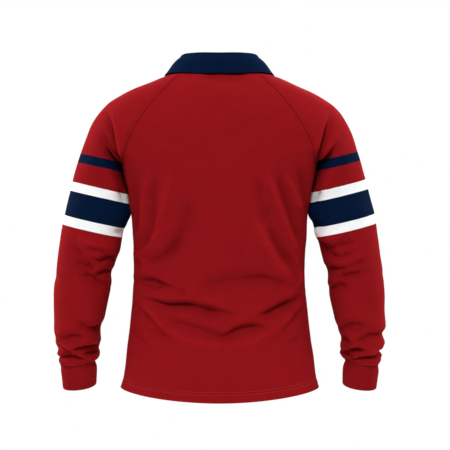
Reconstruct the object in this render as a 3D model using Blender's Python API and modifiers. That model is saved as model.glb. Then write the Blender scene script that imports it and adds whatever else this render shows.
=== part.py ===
"""A rugby shirt, filled out as worn: raglan sleeves, a folded collar and a buttoned placket.

Metres, +Z up. The front of the shirt faces -Y and its left sleeve lies at +X. The origin is the
middle of the base of the neck, where the wearer's shoulders carry the shirt.
"""

import math
from collections import defaultdict, namedtuple

import bmesh
import bpy
import numpy as np
from mathutils import Vector

# Cloth
JERSEY = 0.0016
COLLAR_CLOTH = 0.0020
BAND_CLOTH = 0.0018
SEAM_GAP = 0.0003
UNDERARM_GAP = 0.0006
UNDERARM_SEAM_ROWS = 3
LAY_GAP = 0.0003

# Heights of the body's edges
UNDERARM_Z = -0.284
NECK_Z = {"back": 0.008, "front": -0.056}
HEM_SIDE_Z = -0.682
HEM_CENTRE_Z = {"back": -0.700, "front": -0.694}
UNDERARM_X = 0.197

# Panel grids: rows and columns of facets
YOKE_ROWS = 14
BODY_ROWS = 19
BODY_COLUMNS = 22
SLEEVE_ROWS = 22
SLEEVE_COLUMNS = 18
CUFF_ROWS = 3
BULGE_TOP = -0.925
BULGE_ROWS = 3

# Points on the smooth curves that the grids are laid along
BODY_CURVE_POINTS = 181
SLEEVE_CURVE_POINTS = 48
FOLD_CURVE_POINTS = 13
HALF_TUBE_PULL = 4 / 3  # handle length, by depth, of a curve half way round a tube
SEAM_RISE = 0.5  # share of the sleeve's climb to its top line that its handle at the seam takes
FOLD_FADE = 0.35  # how far round from square-on a fold still shows, by the normal's y
SHARP_ANGLE = math.radians(50)

# Cuffs, collar, placket and buttons
CUFF_TOP = -1.0
CUFF_BOTTOM = -1.15
COLLAR_OPENING = 0.006
COLLAR_SLEEVE_STEP = 2
COLLAR_SEAM_GAP = 0.0007
COLLAR_STAND_SHARES = (0.0, 0.5)
COLLAR_LEAF_SHARES = (0.25, 0.5, 0.75, 1.0)
ROLL_RADIUS = 0.0045
ROLL_POINTS = 5
LEAF_LIFT = 0.0034
LEAF_BOW = 0.0036  # how far the leaf stands out of its straight line, most a third of the way down
LEAF_STEP = 0.01  # the share and level to either side that give the way off the shirt's surface
BAND_HALF_WIDTH = 0.016
BAND_COLUMN_SHARES = (0.5, 1.0)
BAND_ROWS = 11
SLIT_ROWS = 10
SLIT_WIDTH = 0.0012
BUTTON_RADIUS = 0.0065
BUTTON_HEIGHT = 0.0030
BUTTON_HOLE_RADIUS = 0.0009
BUTTON_HOLE_SPREAD = 0.0018
BUTTON_HOLE_SIDES = 8
BUTTON_SIDES = 20
BUTTON_MERGE = 0.00005
BUTTON_ROWS = (2, 5, 8)
BUTTON_OUTLINE = (  # by share of its radius and of its height
    (0, 0.70),
    (0.66, 0.70),
    (0.80, 1.0),
    (0.93, 1.0),
    (1.0, 0.80),
    (1.0, 0.25),
    (0.90, 0),
    (0, 0),
)

# Levels run from 1 at the neck through 0 at the underarm to -1 at the hem or the cuff seam.

# Where each raglan seam lies. "turn" is the way the sleeve leaves the seam, in degrees from straight
# out to the side, and the pulls are the handles of the sleeve's curve at the seam and at its top line.
# "fullness" is 0.5 for an ellipse and 1 for a shallow arch across the body panel.
Raglan = namedtuple("Raglan", "level x y z turn seam_pull top_pull fullness")
RAGLAN = {
    "back": (
        Raglan(0.00, 0.1970, 0.000, -0.284, 90, 0.090, 0.090, 0.42),
        Raglan(0.14, 0.2065, 0.045, -0.252, 60, 0.062, 0.080, 0.50),
        Raglan(0.26, 0.2085, 0.076, -0.217, 30, 0.055, 0.068, 0.65),
        Raglan(0.36, 0.2020, 0.098, -0.182, 8, 0.052, 0.062, 0.82),
        Raglan(0.45, 0.1910, 0.108, -0.148, -6, 0.050, 0.060, 0.95),
        Raglan(0.56, 0.1710, 0.110, -0.110, -13, 0.047, 0.060, 1.00),
        Raglan(0.70, 0.1409, 0.100, -0.067, -18, 0.041, 0.055, 1.00),
        Raglan(0.86, 0.1010, 0.075, -0.021, -28, 0.026, 0.042, 1.00),
        Raglan(1.00, 0.0680, 0.044, 0.012, -36, 0.012, 0.024, 1.00),
    ),
    "front": (
        Raglan(0.00, 0.1970, 0.000, -0.284, 90, 0.090, 0.090, 0.42),
        Raglan(0.14, 0.2040, 0.047, -0.252, 62, 0.062, 0.080, 0.50),
        Raglan(0.26, 0.2030, 0.078, -0.218, 32, 0.057, 0.068, 0.65),
        Raglan(0.36, 0.1940, 0.097, -0.185, 10, 0.055, 0.062, 0.82),
        Raglan(0.45, 0.1810, 0.106, -0.153, -4, 0.054, 0.060, 0.95),
        Raglan(0.56, 0.1600, 0.108, -0.116, -12, 0.052, 0.060, 1.00),
        Raglan(0.70, 0.1300, 0.099, -0.076, -18, 0.046, 0.055, 1.00),
        Raglan(0.86, 0.0920, 0.077, -0.044, -30, 0.032, 0.042, 1.00),
        Raglan(1.00, 0.0580, 0.050, -0.018, -42, 0.016, 0.026, 1.00),
    ),
}

# The line along the top of the shoulder and down the outside of the sleeve to the cuff's edge
TopLine = namedtuple("TopLine", "level x y z")
TOP_LINE = (
    TopLine(-1.150, 0.3500, -0.0467, -0.6904),
    TopLine(-1.050, 0.3535, -0.0405, -0.6540),
    TopLine(-1.000, 0.3560, -0.0370, -0.6340),
    TopLine(-0.978, 0.3630, -0.0350, -0.6260),
    TopLine(-0.925, 0.3645, -0.0320, -0.6050),
    TopLine(-0.820, 0.3660, -0.0240, -0.5650),
    TopLine(-0.695, 0.3650, -0.0150, -0.5170),
    TopLine(-0.555, 0.3625, -0.0060, -0.4630),
    TopLine(-0.414, 0.3550, 0.0000, -0.4090),
    TopLine(-0.276, 0.3470, 0.0030, -0.3560),
    TopLine(-0.115, 0.3362, 0.0030, -0.2940),
    TopLine(0.000, 0.3250, 0.0000, -0.2500),
    TopLine(0.140, 0.3165, 0.0000, -0.2110),
    TopLine(0.260, 0.3045, 0.0000, -0.1720),
    TopLine(0.360, 0.2918, 0.0000, -0.1380),
    TopLine(0.450, 0.2780, 0.0000, -0.1070),
    TopLine(0.560, 0.2548, 0.0000, -0.0727),
    TopLine(0.700, 0.2140, 0.0000, -0.0445),
    TopLine(0.860, 0.1470, 0.0000, -0.0150),
    TopLine(1.000, 0.0800, 0.0000, 0.0135),
)

# The line down the inside of the sleeve. "depth" is half the sleeve front to back, and "lean" is how
# far a ring drops towards the back for each metre, as the forearm swings forward.
Inside = namedtuple("Inside", "level x y z depth lean")
INSIDE = (
    Inside(-1.150, 0.2763, -0.0467, -0.6830, 0.0370, 0.17),
    Inside(-1.050, 0.2763, -0.0405, -0.6470, 0.0395, 0.17),
    Inside(-1.000, 0.2763, -0.0370, -0.6280, 0.0420, 0.17),
    Inside(-0.978, 0.2680, -0.0350, -0.6215, 0.0490, 0.17),
    Inside(-0.925, 0.2665, -0.0320, -0.6020, 0.0520, 0.17),
    Inside(-0.820, 0.2640, -0.0240, -0.5700, 0.0570, 0.17),
    Inside(-0.695, 0.2550, -0.0150, -0.5250, 0.0600, 0.15),
    Inside(-0.555, 0.2425, -0.0060, -0.4790, 0.0620, 0.11),
    Inside(-0.414, 0.2340, 0.0000, -0.4300, 0.0640, 0.06),
    Inside(-0.276, 0.2205, 0.0030, -0.3850, 0.0660, 0.02),
    Inside(-0.115, 0.2030, 0.0030, -0.3260, 0.0680, 0.00),
    Inside(0.000, 0.1970, 0.0000, -0.2840, 0.0680, 0.00),
)

# Half the body's width at the side seam, and its reach to the back and front at the centre
Side = namedtuple("Side", "z x")
SIDE = (
    Side(-0.682, 0.2140),
    Side(-0.660, 0.2105),
    Side(-0.607, 0.2035),
    Side(-0.554, 0.1970),
    Side(-0.515, 0.1932),
    Side(-0.488, 0.1905),
    Side(-0.440, 0.1868),
    Side(-0.396, 0.1872),
    Side(-0.343, 0.1905),
    Side(-0.310, 0.1930),
    Side(-0.284, 0.1970),
)
Centre = namedtuple("Centre", "z y")
CENTRE = {
    "back": (
        Centre(-0.700, 0.1280),
        Centre(-0.640, 0.1220),
        Centre(-0.560, 0.1120),
        Centre(-0.480, 0.1080),
        Centre(-0.400, 0.1160),
        Centre(-0.300, 0.1300),
        Centre(-0.220, 0.1350),
        Centre(-0.150, 0.1320),
        Centre(-0.080, 0.1200),
        Centre(-0.030, 0.0980),
        Centre(0.008, 0.0605),
    ),
    "front": (
        Centre(-0.694, 0.1280),
        Centre(-0.620, 0.1260),
        Centre(-0.540, 0.1220),
        Centre(-0.450, 0.1220),
        Centre(-0.350, 0.1270),
        Centre(-0.250, 0.1290),
        Centre(-0.180, 0.1210),
        Centre(-0.120, 0.1050),
        Centre(-0.056, 0.0720),
    ),
}

# The collar's roll line and the edge of its leaf, by the share of the way round the neck from the
# centre front to the centre back. The leaf's edge lies over the shirt at "edge_share" and "edge_level".
CollarLine = namedtuple("CollarLine", "share roll_x roll_y roll_z edge_share edge_level")
COLLAR = (
    CollarLine(0.00, 0.0050, -0.0800, -0.0300, 0.112, 0.720),
    CollarLine(0.15, 0.0370, -0.0740, -0.0170, 0.190, 0.780),
    CollarLine(0.30, 0.0640, -0.0540, 0.0080, 0.290, 0.850),
    CollarLine(0.43, 0.0780, -0.0280, 0.0300, 0.410, 0.900),
    CollarLine(0.55, 0.0825, 0.0010, 0.0395, 0.520, 0.920),
    CollarLine(0.68, 0.0760, 0.0330, 0.0410, 0.630, 0.928),
    CollarLine(0.82, 0.0470, 0.0560, 0.0375, 0.760, 0.936),
    CollarLine(1.00, 0.0000, 0.0660, 0.0355, 1.000, 0.947),
)

# The largest folds: soft troughs along a curve through three points, seen square from the back or the
# front. "facing" is 1 for the back and -1 for the front. Left is +x.
Fold = namedtuple("Fold", "piece facing x1 z1 x2 z2 x3 z3 width depth")
FOLDS = (
    Fold("body", 1, 0.178, -0.484, 0.092, -0.492, -0.030, -0.516, 0.0120, 0.0055),
    Fold("body", 1, -0.183, -0.481, -0.117, -0.500, -0.070, -0.527, 0.0120, 0.0050),
    Fold("body", 1, -0.091, -0.543, -0.007, -0.566, 0.041, -0.548, 0.0110, 0.0035),
    Fold("body", 1, 0.178, -0.440, 0.135, -0.447, 0.089, -0.460, 0.0110, 0.0040),
    Fold("body", 1, -0.043, -0.426, -0.085, -0.443, -0.150, -0.459, 0.0140, 0.0028),
    Fold("body", 1, 0.114, -0.276, 0.105, -0.340, 0.171, -0.419, 0.0160, 0.0030),
    Fold("body", 1, -0.116, -0.307, -0.140, -0.360, -0.173, -0.413, 0.0160, 0.0026),
    Fold("body", 1, 0.176, -0.494, 0.131, -0.545, 0.099, -0.567, 0.0120, 0.0040),
    Fold("body", 1, -0.178, -0.507, -0.160, -0.528, -0.144, -0.545, 0.0120, 0.0040),
    Fold("body", -1, 0.180, -0.474, 0.090, -0.490, 0.010, -0.506, 0.0130, 0.0045),
    Fold("body", -1, -0.182, -0.486, -0.110, -0.492, -0.045, -0.520, 0.0130, 0.0050),
    Fold("body", -1, 0.160, -0.545, 0.085, -0.560, 0.020, -0.552, 0.0120, 0.0032),
    Fold("body", -1, -0.120, -0.290, -0.130, -0.350, -0.176, -0.410, 0.0160, 0.0028),
    Fold("body", -1, 0.125, -0.285, 0.138, -0.345, 0.174, -0.402, 0.0160, 0.0026),
    Fold("left", 1, 0.285, -0.400, 0.248, -0.409, 0.215, -0.400, 0.0110, 0.0045),
    Fold("left", 1, 0.330, -0.405, 0.290, -0.416, 0.255, -0.427, 0.0110, 0.0030),
    Fold("left", 1, 0.310, -0.438, 0.275, -0.450, 0.240, -0.461, 0.0110, 0.0038),
    Fold("left", 1, 0.330, -0.611, 0.295, -0.602, 0.250, -0.590, 0.0080, 0.0050),
    Fold("left", 1, 0.370, -0.612, 0.335, -0.617, 0.290, -0.623, 0.0070, 0.0042),
    Fold("left", -1, 0.345, -0.418, 0.300, -0.428, 0.250, -0.420, 0.0110, 0.0045),
    Fold("left", -1, 0.350, -0.452, 0.310, -0.462, 0.270, -0.458, 0.0110, 0.0038),
    Fold("left", -1, 0.355, -0.600, 0.310, -0.610, 0.262, -0.604, 0.0080, 0.0048),
    Fold("right", 1, -0.285, -0.406, -0.250, -0.400, -0.215, -0.408, 0.0110, 0.0045),
    Fold("right", 1, -0.325, -0.420, -0.290, -0.432, -0.250, -0.436, 0.0110, 0.0036),
    Fold("right", 1, -0.350, -0.590, -0.310, -0.600, -0.262, -0.597, 0.0080, 0.0046),
    Fold("right", 1, -0.370, -0.610, -0.325, -0.620, -0.280, -0.615, 0.0070, 0.0044),
    Fold("right", -1, -0.345, -0.410, -0.300, -0.422, -0.250, -0.415, 0.0110, 0.0045),
    Fold("right", -1, -0.350, -0.448, -0.310, -0.456, -0.265, -0.446, 0.0110, 0.0036),
    Fold("right", -1, -0.355, -0.606, -0.310, -0.598, -0.262, -0.607, 0.0080, 0.0048),
)

FACING = {"back": 1, "front": -1}
MIRROR = np.array((-1.0, 1.0, 1.0))
UNDERARM_NORMAL = np.array((0.0, 0.0, -1.0))


# ---- curves ----


def at_level(table, level):
    """The table's row at a level, on a smooth curve through the rows beside it."""
    rows = np.array(table, float)
    levels = rows[:, 0]
    slopes = np.gradient(rows, levels, axis=0)
    low = int(np.clip(np.searchsorted(levels, level) - 1, 0, len(levels) - 2))
    step = levels[low + 1] - levels[low]
    f = (level - levels[low]) / step
    values = (
        rows[low] * (2 * f**3 - 3 * f**2 + 1)
        + slopes[low] * step * (f**3 - 2 * f**2 + f)
        + rows[low + 1] * (3 * f**2 - 2 * f**3)
        + slopes[low + 1] * step * (f**3 - f**2)
    )
    return type(table[0])(*values)


def mix(a, b, share):
    return a + (b - a) * share


def lengths_along(points):
    steps = np.linalg.norm(np.diff(points, axis=0), axis=1)
    return np.concatenate(([0.0], np.cumsum(steps)))


def points_at(points, distances):
    along = lengths_along(points)
    return np.stack([np.interp(distances, along, points[:, axis]) for axis in range(3)], axis=1)


def evenly(points, count):
    return points_at(points, np.linspace(0, lengths_along(points)[-1], count + 1))


def bezier(start, start_handle, end_handle, end):
    t = np.linspace(0, 1, SLEEVE_CURVE_POINTS)[:, None]
    return (
        start * (1 - t) ** 3
        + 3 * start_handle * t * (1 - t) ** 2
        + 3 * end_handle * t**2 * (1 - t)
        + end * t**3
    )


# ---- the shirt's surface, row by row ----


def body_curve(level, face):
    """Half a row of the body from its left side seam to its right one, across the back or front."""
    if level >= 0:
        seam = at_level(RAGLAN[face], level)
        seam_x, seam_y, seam_z, fullness = seam.x, seam.y, seam.z, seam.fullness
        centre_z = mix(UNDERARM_Z, NECK_Z[face], level)
    else:
        seam_z = mix(UNDERARM_Z, HEM_SIDE_Z, -level)
        seam_x, seam_y = at_level(SIDE, seam_z).x, 0.0
        fullness = RAGLAN[face][0].fullness
        centre_z = mix(UNDERARM_Z, HEM_CENTRE_Z[face], -level)
    reach = at_level(CENTRE[face], centre_z).y - seam_y
    angle = np.linspace(math.pi / 2, -math.pi / 2, BODY_CURVE_POINTS)
    across = np.sin(angle)
    x = seam_x * across
    y = seam_y + reach * np.clip(np.cos(angle), 0, None) ** (2 * fullness)
    z = mix(centre_z, seam_z, across**2)
    return np.stack((x, y * FACING[face], z), axis=1)


def sleeve_curve(level, face):
    """Half a row of the left sleeve, from its seam to its top line, round the back or front."""
    top = at_level(TOP_LINE, level)
    top_point = np.array((top.x, top.y, top.z))
    out = np.array((0.0, FACING[face], 0.0))
    if level < 0:
        inside = at_level(INSIDE, level)
        seam_point = np.array((inside.x, inside.y, inside.z))
        pull = inside.depth * HALF_TUBE_PULL
        curve = bezier(seam_point, seam_point + out * pull, top_point + out * pull, top_point)
        curve[:, 2] -= inside.lean * (curve[:, 1] - inside.y)
        return curve
    seam = at_level(RAGLAN[face], level)
    seam_point = np.array((seam.x, seam.y * FACING[face], seam.z))
    turn = math.radians(seam.turn)
    leave = np.array((math.cos(turn), math.sin(turn) * FACING[face], 0.0)) * seam.seam_pull
    rise = mix(SEAM_RISE, 0.0, min(1.0, max(0.0, seam.turn / 90)))
    leave[2] = (top.z - seam.z) * rise
    return bezier(seam_point, seam_point + leave, top_point + out * seam.top_pull, top_point)


def front_distances(length):
    """Column places across the front, with columns at the edges and middle of each placket band."""
    inner = [BAND_HALF_WIDTH * share for share in BAND_COLUMN_SHARES]
    outer = np.linspace(BAND_HALF_WIDTH, length / 2, BODY_COLUMNS // 2 - 1)[1:]
    half = np.concatenate(([0.0], inner, outer))
    return length / 2 + np.concatenate((-half[:0:-1], half))


def body_grid(face):
    """Points of a body panel by row and column, running counterclockwise seen from above."""
    levels = np.concatenate((np.linspace(1, 0, YOKE_ROWS + 1), np.linspace(0, -1, BODY_ROWS + 1)[1:]))
    rows = []
    for level in levels:
        curve = body_curve(level, face)
        if face == "back":
            rows.append(evenly(curve, BODY_COLUMNS))
        else:
            rows.append(points_at(curve[::-1], front_distances(lengths_along(curve)[-1])))
    return np.array(rows)


def tube_rows(levels):
    rows = []
    for level in levels:
        front = evenly(sleeve_curve(level, "front"), SLEEVE_COLUMNS // 2)
        back = evenly(sleeve_curve(level, "back"), SLEEVE_COLUMNS // 2)
        rows.append(np.concatenate((front, back[::-1][1:])))
    return np.array(rows)


def sleeve_grid():
    bulge = np.linspace(BULGE_TOP, CUFF_TOP, BULGE_ROWS + 1)[1:]
    tube = np.linspace(0, BULGE_TOP, SLEEVE_ROWS - BULGE_ROWS + 1)[1:]
    return tube_rows(np.concatenate((np.linspace(1, 0, YOKE_ROWS + 1), tube, bulge)))


def cuff_grid():
    return tube_rows(np.linspace(CUFF_TOP, CUFF_BOTTOM, CUFF_ROWS + 1))


def mirrored(grid):
    return grid[:, ::-1] * MIRROR


# ---- normals and folds, shared where panels meet ----


def key(point):
    return tuple(np.round(point, 6))


def shared_normals(grids):
    """Outward normals, averaged over every panel that meets at a point."""
    sums = defaultdict(lambda: np.zeros(3))
    for grid in grids.values():
        down = grid[1:, 1:] - grid[:-1, :-1]
        up = grid[:-1, 1:] - grid[1:, :-1]
        facets = np.cross(down, up)
        for i, j in np.ndindex(facets.shape[:2]):
            for point in (grid[i, j], grid[i + 1, j], grid[i + 1, j + 1], grid[i, j + 1]):
                sums[key(point)] += facets[i, j]
    for side in (UNDERARM_X, -UNDERARM_X):
        sums[key(np.array((side, 0.0, UNDERARM_Z)))] = UNDERARM_NORMAL
    return {
        name: np.array([[sums[key(p)] / np.linalg.norm(sums[key(p)]) for p in row] for row in grid])
        for name, grid in grids.items()
    }


def fold_depth(piece, point, normal):
    """How far the folds of a piece sink a point of it."""
    depth = 0.0
    for fold in FOLDS:
        if fold.piece != piece:
            continue
        start = np.array((fold.x1, fold.z1))
        middle = np.array((fold.x2, fold.z2))
        end = np.array((fold.x3, fold.z3))
        t = np.linspace(0, 1, FOLD_CURVE_POINTS)[:, None]
        handle = 2 * middle - (start + end) / 2
        path = start * (1 - t) ** 2 + 2 * handle * t * (1 - t) + end * t**2
        distance = np.min(np.linalg.norm(path - point[[0, 2]], axis=1))
        faces = np.clip((normal[1] * fold.facing + FOLD_FADE) / (2 * FOLD_FADE), 0, 1)
        depth += fold.depth * faces * math.exp(-((distance / fold.width) ** 2))
    return depth


def folded(grids, pieces):
    """The same panels with their folds pressed in, by the same amount on both sides of a seam."""
    normals = shared_normals(grids)
    depths = defaultdict(list)
    for name, grid in grids.items():
        for i, j in np.ndindex(grid.shape[:2]):
            point, normal = grid[i, j], normals[name][i, j]
            depths[key(point)].append(fold_depth(pieces[name], point, normal))
    return {
        name: np.array(
            [
                [p - n * float(np.mean(depths[key(p)])) for p, n in zip(points, directions)]
                for points, directions in zip(grid, normals[name])
            ]
        )
        for name, grid in grids.items()
    }


# ---- seams and walls ----


def inset(points, normals, inward, distance):
    """An edge of a panel moved into the panel, along its surface and square to the edge."""
    along = np.gradient(points, axis=0)
    along /= np.linalg.norm(along, axis=1)[:, None]
    way = inward - normals * np.sum(inward * normals, axis=1)[:, None]
    way -= along * np.sum(way * along, axis=1)[:, None]
    return points + distance * way / np.linalg.norm(way, axis=1)[:, None]


def with_seams(grid, normals, top, bottom, side_rows):
    """A panel drawn back from its seams; side_rows is how many rows have a seam at each side."""
    result = grid.copy()
    half = SEAM_GAP / 2
    rows = slice(0, side_rows)
    if side_rows:
        side = np.full((side_rows, 1), half)
        side[YOKE_ROWS - UNDERARM_SEAM_ROWS + 1 : YOKE_ROWS + 1] = UNDERARM_GAP / 2
        result[rows, 0] = inset(grid[rows, 0], normals[rows, 0], grid[rows, 1] - grid[rows, 0], side)
        result[rows, -1] = inset(grid[rows, -1], normals[rows, -1], grid[rows, -2] - grid[rows, -1], side)
    if top:
        result[0] += inset(grid[0], normals[0], grid[1] - grid[0], half) - grid[0]
    if bottom:
        result[-1] += inset(grid[-1], normals[-1], grid[-2] - grid[-1], half) - grid[-1]
    return result


def quads(index):
    """Facets over a grid of point numbers."""
    return [
        (index[i, j], index[i + 1, j], index[i + 1, j + 1], index[i, j + 1])
        for i, j in np.ndindex(index.shape[0] - 1, index.shape[1] - 1)
    ]


def closed_index(shape, first_closed_row):
    """Point numbers of a grid whose rows close on themselves from a row down."""
    index = np.arange(shape[0] * shape[1]).reshape(shape)
    index[first_closed_row:, -1] = index[first_closed_row:, 0]
    return index


def material(name, colour, roughness):
    made = bpy.data.materials.new(name)
    made.use_nodes = True
    shader = made.node_tree.nodes["Principled BSDF"]
    shader.inputs["Base Color"].default_value = (*colour, 1.0)
    shader.inputs["Roughness"].default_value = roughness
    shader.inputs["Metallic"].default_value = 0.0
    made.diffuse_color = (*colour, 1.0)
    return made


def wall(name, points, normals, facets, thickness, cloth, collection):
    """A cloth wall: the facets moved out and in by half the thickness, with a rim at every open edge.

    The normals come from all the panels that meet at a point, so two walls keep their gap right
    through the thickness, also where a seam is sharply folded.
    """
    points = points.reshape(-1, 3)
    normals = normals.reshape(-1, 3)
    count = len(points)
    faces = [tuple(int(v) for v in facet) for facet in facets]
    edges = {(facet[k], facet[(k + 1) % 4]) for facet in faces for k in range(4)}
    rims = [(b, a, a + count, b + count) for a, b in edges if (b, a) not in edges]
    inner = [tuple(v + count for v in reversed(facet)) for facet in faces]
    corners = np.concatenate((points + normals * thickness / 2, points - normals * thickness / 2))
    mesh = bpy.data.meshes.new(name)
    mesh.from_pydata([Vector(corner) for corner in corners], [], faces + inner + sorted(rims))
    remove_loose(mesh)
    mesh.shade_smooth()
    mesh.set_sharp_from_angle(angle=SHARP_ANGLE)
    return add_object(name, mesh, cloth, collection)


def remove_loose(mesh):
    shape = bmesh.new()
    shape.from_mesh(mesh)
    loose = [vert for vert in shape.verts if not vert.link_faces]
    bmesh.ops.delete(shape, geom=loose, context="VERTS")
    shape.to_mesh(mesh)
    shape.free()


def add_object(name, mesh, cloth, collection):
    made = bpy.data.objects.new(name, mesh)
    if not mesh.materials:
        mesh.materials.append(cloth)
    collection.objects.link(made)
    return made


# ---- pieces ----


def make_back(grid, normals, cloth, collection):
    panel = with_seams(grid, normals, top=True, bottom=False, side_rows=len(grid))
    index = np.arange(grid[..., 0].size).reshape(grid.shape[:2])
    wall("back", panel, normals, quads(index), JERSEY, cloth, collection)


def make_front(grid, normals, cloth, collection):
    """The front panel, with a slit down its centre from the neck for the placket."""
    panel = with_seams(grid, normals, top=True, bottom=False, side_rows=len(grid))
    rows, columns = grid.shape[:2]
    middle = columns // 2
    index = np.arange(rows * columns).reshape(rows, columns)
    right, left = index[:, : middle + 1].copy(), index[:, middle:].copy()
    slit = panel[:SLIT_ROWS, middle]
    left[:SLIT_ROWS, 0] = rows * columns + np.arange(SLIT_ROWS)
    points = np.concatenate((panel.reshape(-1, 3), slit + (SLIT_WIDTH / 2, 0, 0)))
    points[right[:SLIT_ROWS, -1]] -= (SLIT_WIDTH / 2, 0, 0)
    directions = np.concatenate((normals.reshape(-1, 3), normals[:SLIT_ROWS, middle]))
    wall("front", points, directions, quads(right) + quads(left), JERSEY, cloth, collection)


def make_sleeve(name, grid, normals, cloth, collection):
    """A raglan sleeve, open between its two body seams and a closed tube below the underarm."""
    panel = with_seams(grid, normals, top=True, bottom=True, side_rows=YOKE_ROWS)
    panel[YOKE_ROWS, 0, 0] += math.copysign(SEAM_GAP, panel[YOKE_ROWS, 0, 0])
    index = closed_index(grid.shape[:2], YOKE_ROWS)
    wall(name, panel, normals, quads(index), JERSEY, cloth, collection)


def make_cuff(name, grid, normals, cloth, collection):
    panel = with_seams(grid, normals, top=True, bottom=False, side_rows=0)
    wall(name, panel, normals, quads(closed_index(grid.shape[:2], 0)), JERSEY, cloth, collection)


def make_band(name, grid, normals, side, cloth, collection):
    """A placket band: the front panel's own points, moved out or in to lie on it."""
    middle = grid.shape[1] // 2
    part = (slice(0, BAND_ROWS + 1), slice(middle - 2, middle + 3))
    away = side * (JERSEY / 2 + LAY_GAP + BAND_CLOTH / 2)
    points = grid[part] + normals[part] * away
    index = np.arange(points[..., 0].size).reshape(points.shape[:2])
    down = points[1] - points[0]
    points[0] += 2 * SEAM_GAP * down / np.linalg.norm(down, axis=1)[:, None]
    wall(name, points, normals[part], quads(index), BAND_CLOTH, cloth, collection)


def half_loop(level):
    """One level of the shirt's left half, from the centre front over the shoulder to the centre back."""
    front = body_curve(level, "front")
    back = body_curve(level, "back")
    middle = len(front) // 2
    return np.concatenate(
        (
            front[middle::-1],
            sleeve_curve(level, "front")[1:],
            sleeve_curve(level, "back")[::-1][1:],
            back[1 : middle + 1],
        )
    )


def on_shirt(share, level):
    loop = half_loop(level)
    return points_at(loop, [share * lengths_along(loop)[-1]])[0]


def above_shirt(share, level, height):
    """A point held off the shirt's surface, by its share of the way round a level."""
    round_way = on_shirt(share + LEAF_STEP, level) - on_shirt(share - LEAF_STEP, level)
    down_way = on_shirt(share, level - LEAF_STEP) - on_shirt(share, level + LEAF_STEP)
    away = np.cross(down_way, round_way)
    return on_shirt(share, level) + height * away / np.linalg.norm(away)


def leaf_bow(part):
    return LEAF_BOW * 27 / 4 * part * (1 - part) ** 2


def collar_section(base, share):
    """The collar cut through at one place: up the stand, over the roll and down the leaf."""
    line = at_level(COLLAR, share)
    roll = np.array((line.roll_x, line.roll_y, line.roll_z))
    edge = above_shirt(line.edge_share, line.edge_level, LEAF_LIFT)
    up = np.array((0.0, 0.0, 1.0))
    out = (edge - roll) * (1, 1, 0)
    out /= np.linalg.norm(out)
    turn = [
        roll - out * ROLL_RADIUS * math.cos(angle) + up * ROLL_RADIUS * math.sin(angle)
        for angle in np.linspace(0, math.pi, ROLL_POINTS)
    ]
    stand = [mix(base, turn[0], part) for part in COLLAR_STAND_SHARES]
    leaf = [mix(turn[-1], edge, part) + out * leaf_bow(part) for part in COLLAR_LEAF_SHARES]
    return np.array(stand + turn + leaf)


def neck_stations(grids, normals):
    """Places along the left half of the neck edge, with a collar's seam gap over the cloth there."""
    half = grids["front"].shape[1] // 2
    parts = (
        ("front", slice(half, None)),
        ("sleeve_left", slice(COLLAR_SLEEVE_STEP, None, COLLAR_SLEEVE_STEP)),
        ("back", slice(1, grids["back"].shape[1] // 2 + 1)),
    )
    edge = np.concatenate([grids[name][0, columns] for name, columns in parts])
    facing = np.concatenate([normals[name][0, columns] for name, columns in parts])
    bases = edge.copy()
    bases[:, 2] += JERSEY / 2 * facing[:, 2] + COLLAR_SEAM_GAP
    bases[0, 0] = COLLAR_OPENING / 2
    along = lengths_along(edge)
    return bases, along / along[-1]


def make_collar(grids, normals, cloth, collection):
    left = [collar_section(base, share) for base, share in zip(*neck_stations(grids, normals))]
    right = [section * MIRROR for section in left[-2::-1]]
    grid = np.array(left + right).transpose(1, 0, 2)[::-1]
    facing = shared_normals({"collar": grid})["collar"]
    index = np.arange(grid[..., 0].size).reshape(grid.shape[:2])
    wall("collar", grid, facing, quads(index), COLLAR_CLOTH, cloth, collection)


def button_profile():
    """Half a section of a button, from the middle of its sunk face down to the middle of its back."""
    mesh = bpy.data.meshes.new("button_profile")
    corners = [(x * BUTTON_RADIUS, 0, z * BUTTON_HEIGHT) for x, z in BUTTON_OUTLINE]
    mesh.from_pydata(corners, [(k, k + 1) for k in range(len(corners) - 1)], [])
    return mesh


def hole_mesh():
    mesh = bpy.data.meshes.new("button_holes")
    shape = bmesh.new()
    for x in (-1, 1):
        for y in (-1, 1):
            pin = bmesh.ops.create_cone(
                shape,
                cap_ends=True,
                segments=BUTTON_HOLE_SIDES,
                radius1=BUTTON_HOLE_RADIUS,
                radius2=BUTTON_HOLE_RADIUS,
                depth=BUTTON_HEIGHT * 2,
            )
            place = Vector((x * BUTTON_HOLE_SPREAD, y * BUTTON_HOLE_SPREAD, BUTTON_HEIGHT / 2))
            bmesh.ops.translate(shape, vec=place, verts=pin["verts"])
    shape.to_mesh(mesh)
    shape.free()
    return mesh


def make_buttons(grid, normals, rubber, collection, cutters):
    middle = grid.shape[1] // 2
    profile = button_profile()
    profile.materials.append(rubber)
    holes = hole_mesh()
    stack = JERSEY / 2 + LAY_GAP + BAND_CLOTH + LAY_GAP
    for number, row in enumerate(BUTTON_ROWS, start=1):
        centre = (grid[row, middle] + grid[row + 1, middle]) / 2
        outwards = Vector(normals[row, middle] + normals[row + 1, middle]).normalized()
        button = add_object(f"button_{number}", profile, rubber, collection)
        button.location = Vector(centre) + outwards * stack
        button.rotation_euler = outwards.to_track_quat("Z", "Y").to_euler()
        turned = button.modifiers.new("turned", "SCREW")
        turned.steps = turned.render_steps = BUTTON_SIDES
        turned.use_merge_vertices = True
        turned.merge_threshold = BUTTON_MERGE
        turned.use_smooth_shade = True
        cutter = bpy.data.objects.new(f"button_{number}_holes", holes)
        cutters.objects.link(cutter)
        cutter.parent = button
        cutter.display_type = "WIRE"
        cutter.hide_render = True
        pierced = button.modifiers.new("pierced", "BOOLEAN")
        pierced.operation = "DIFFERENCE"
        pierced.solver = "EXACT"
        pierced.object = cutter


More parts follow.
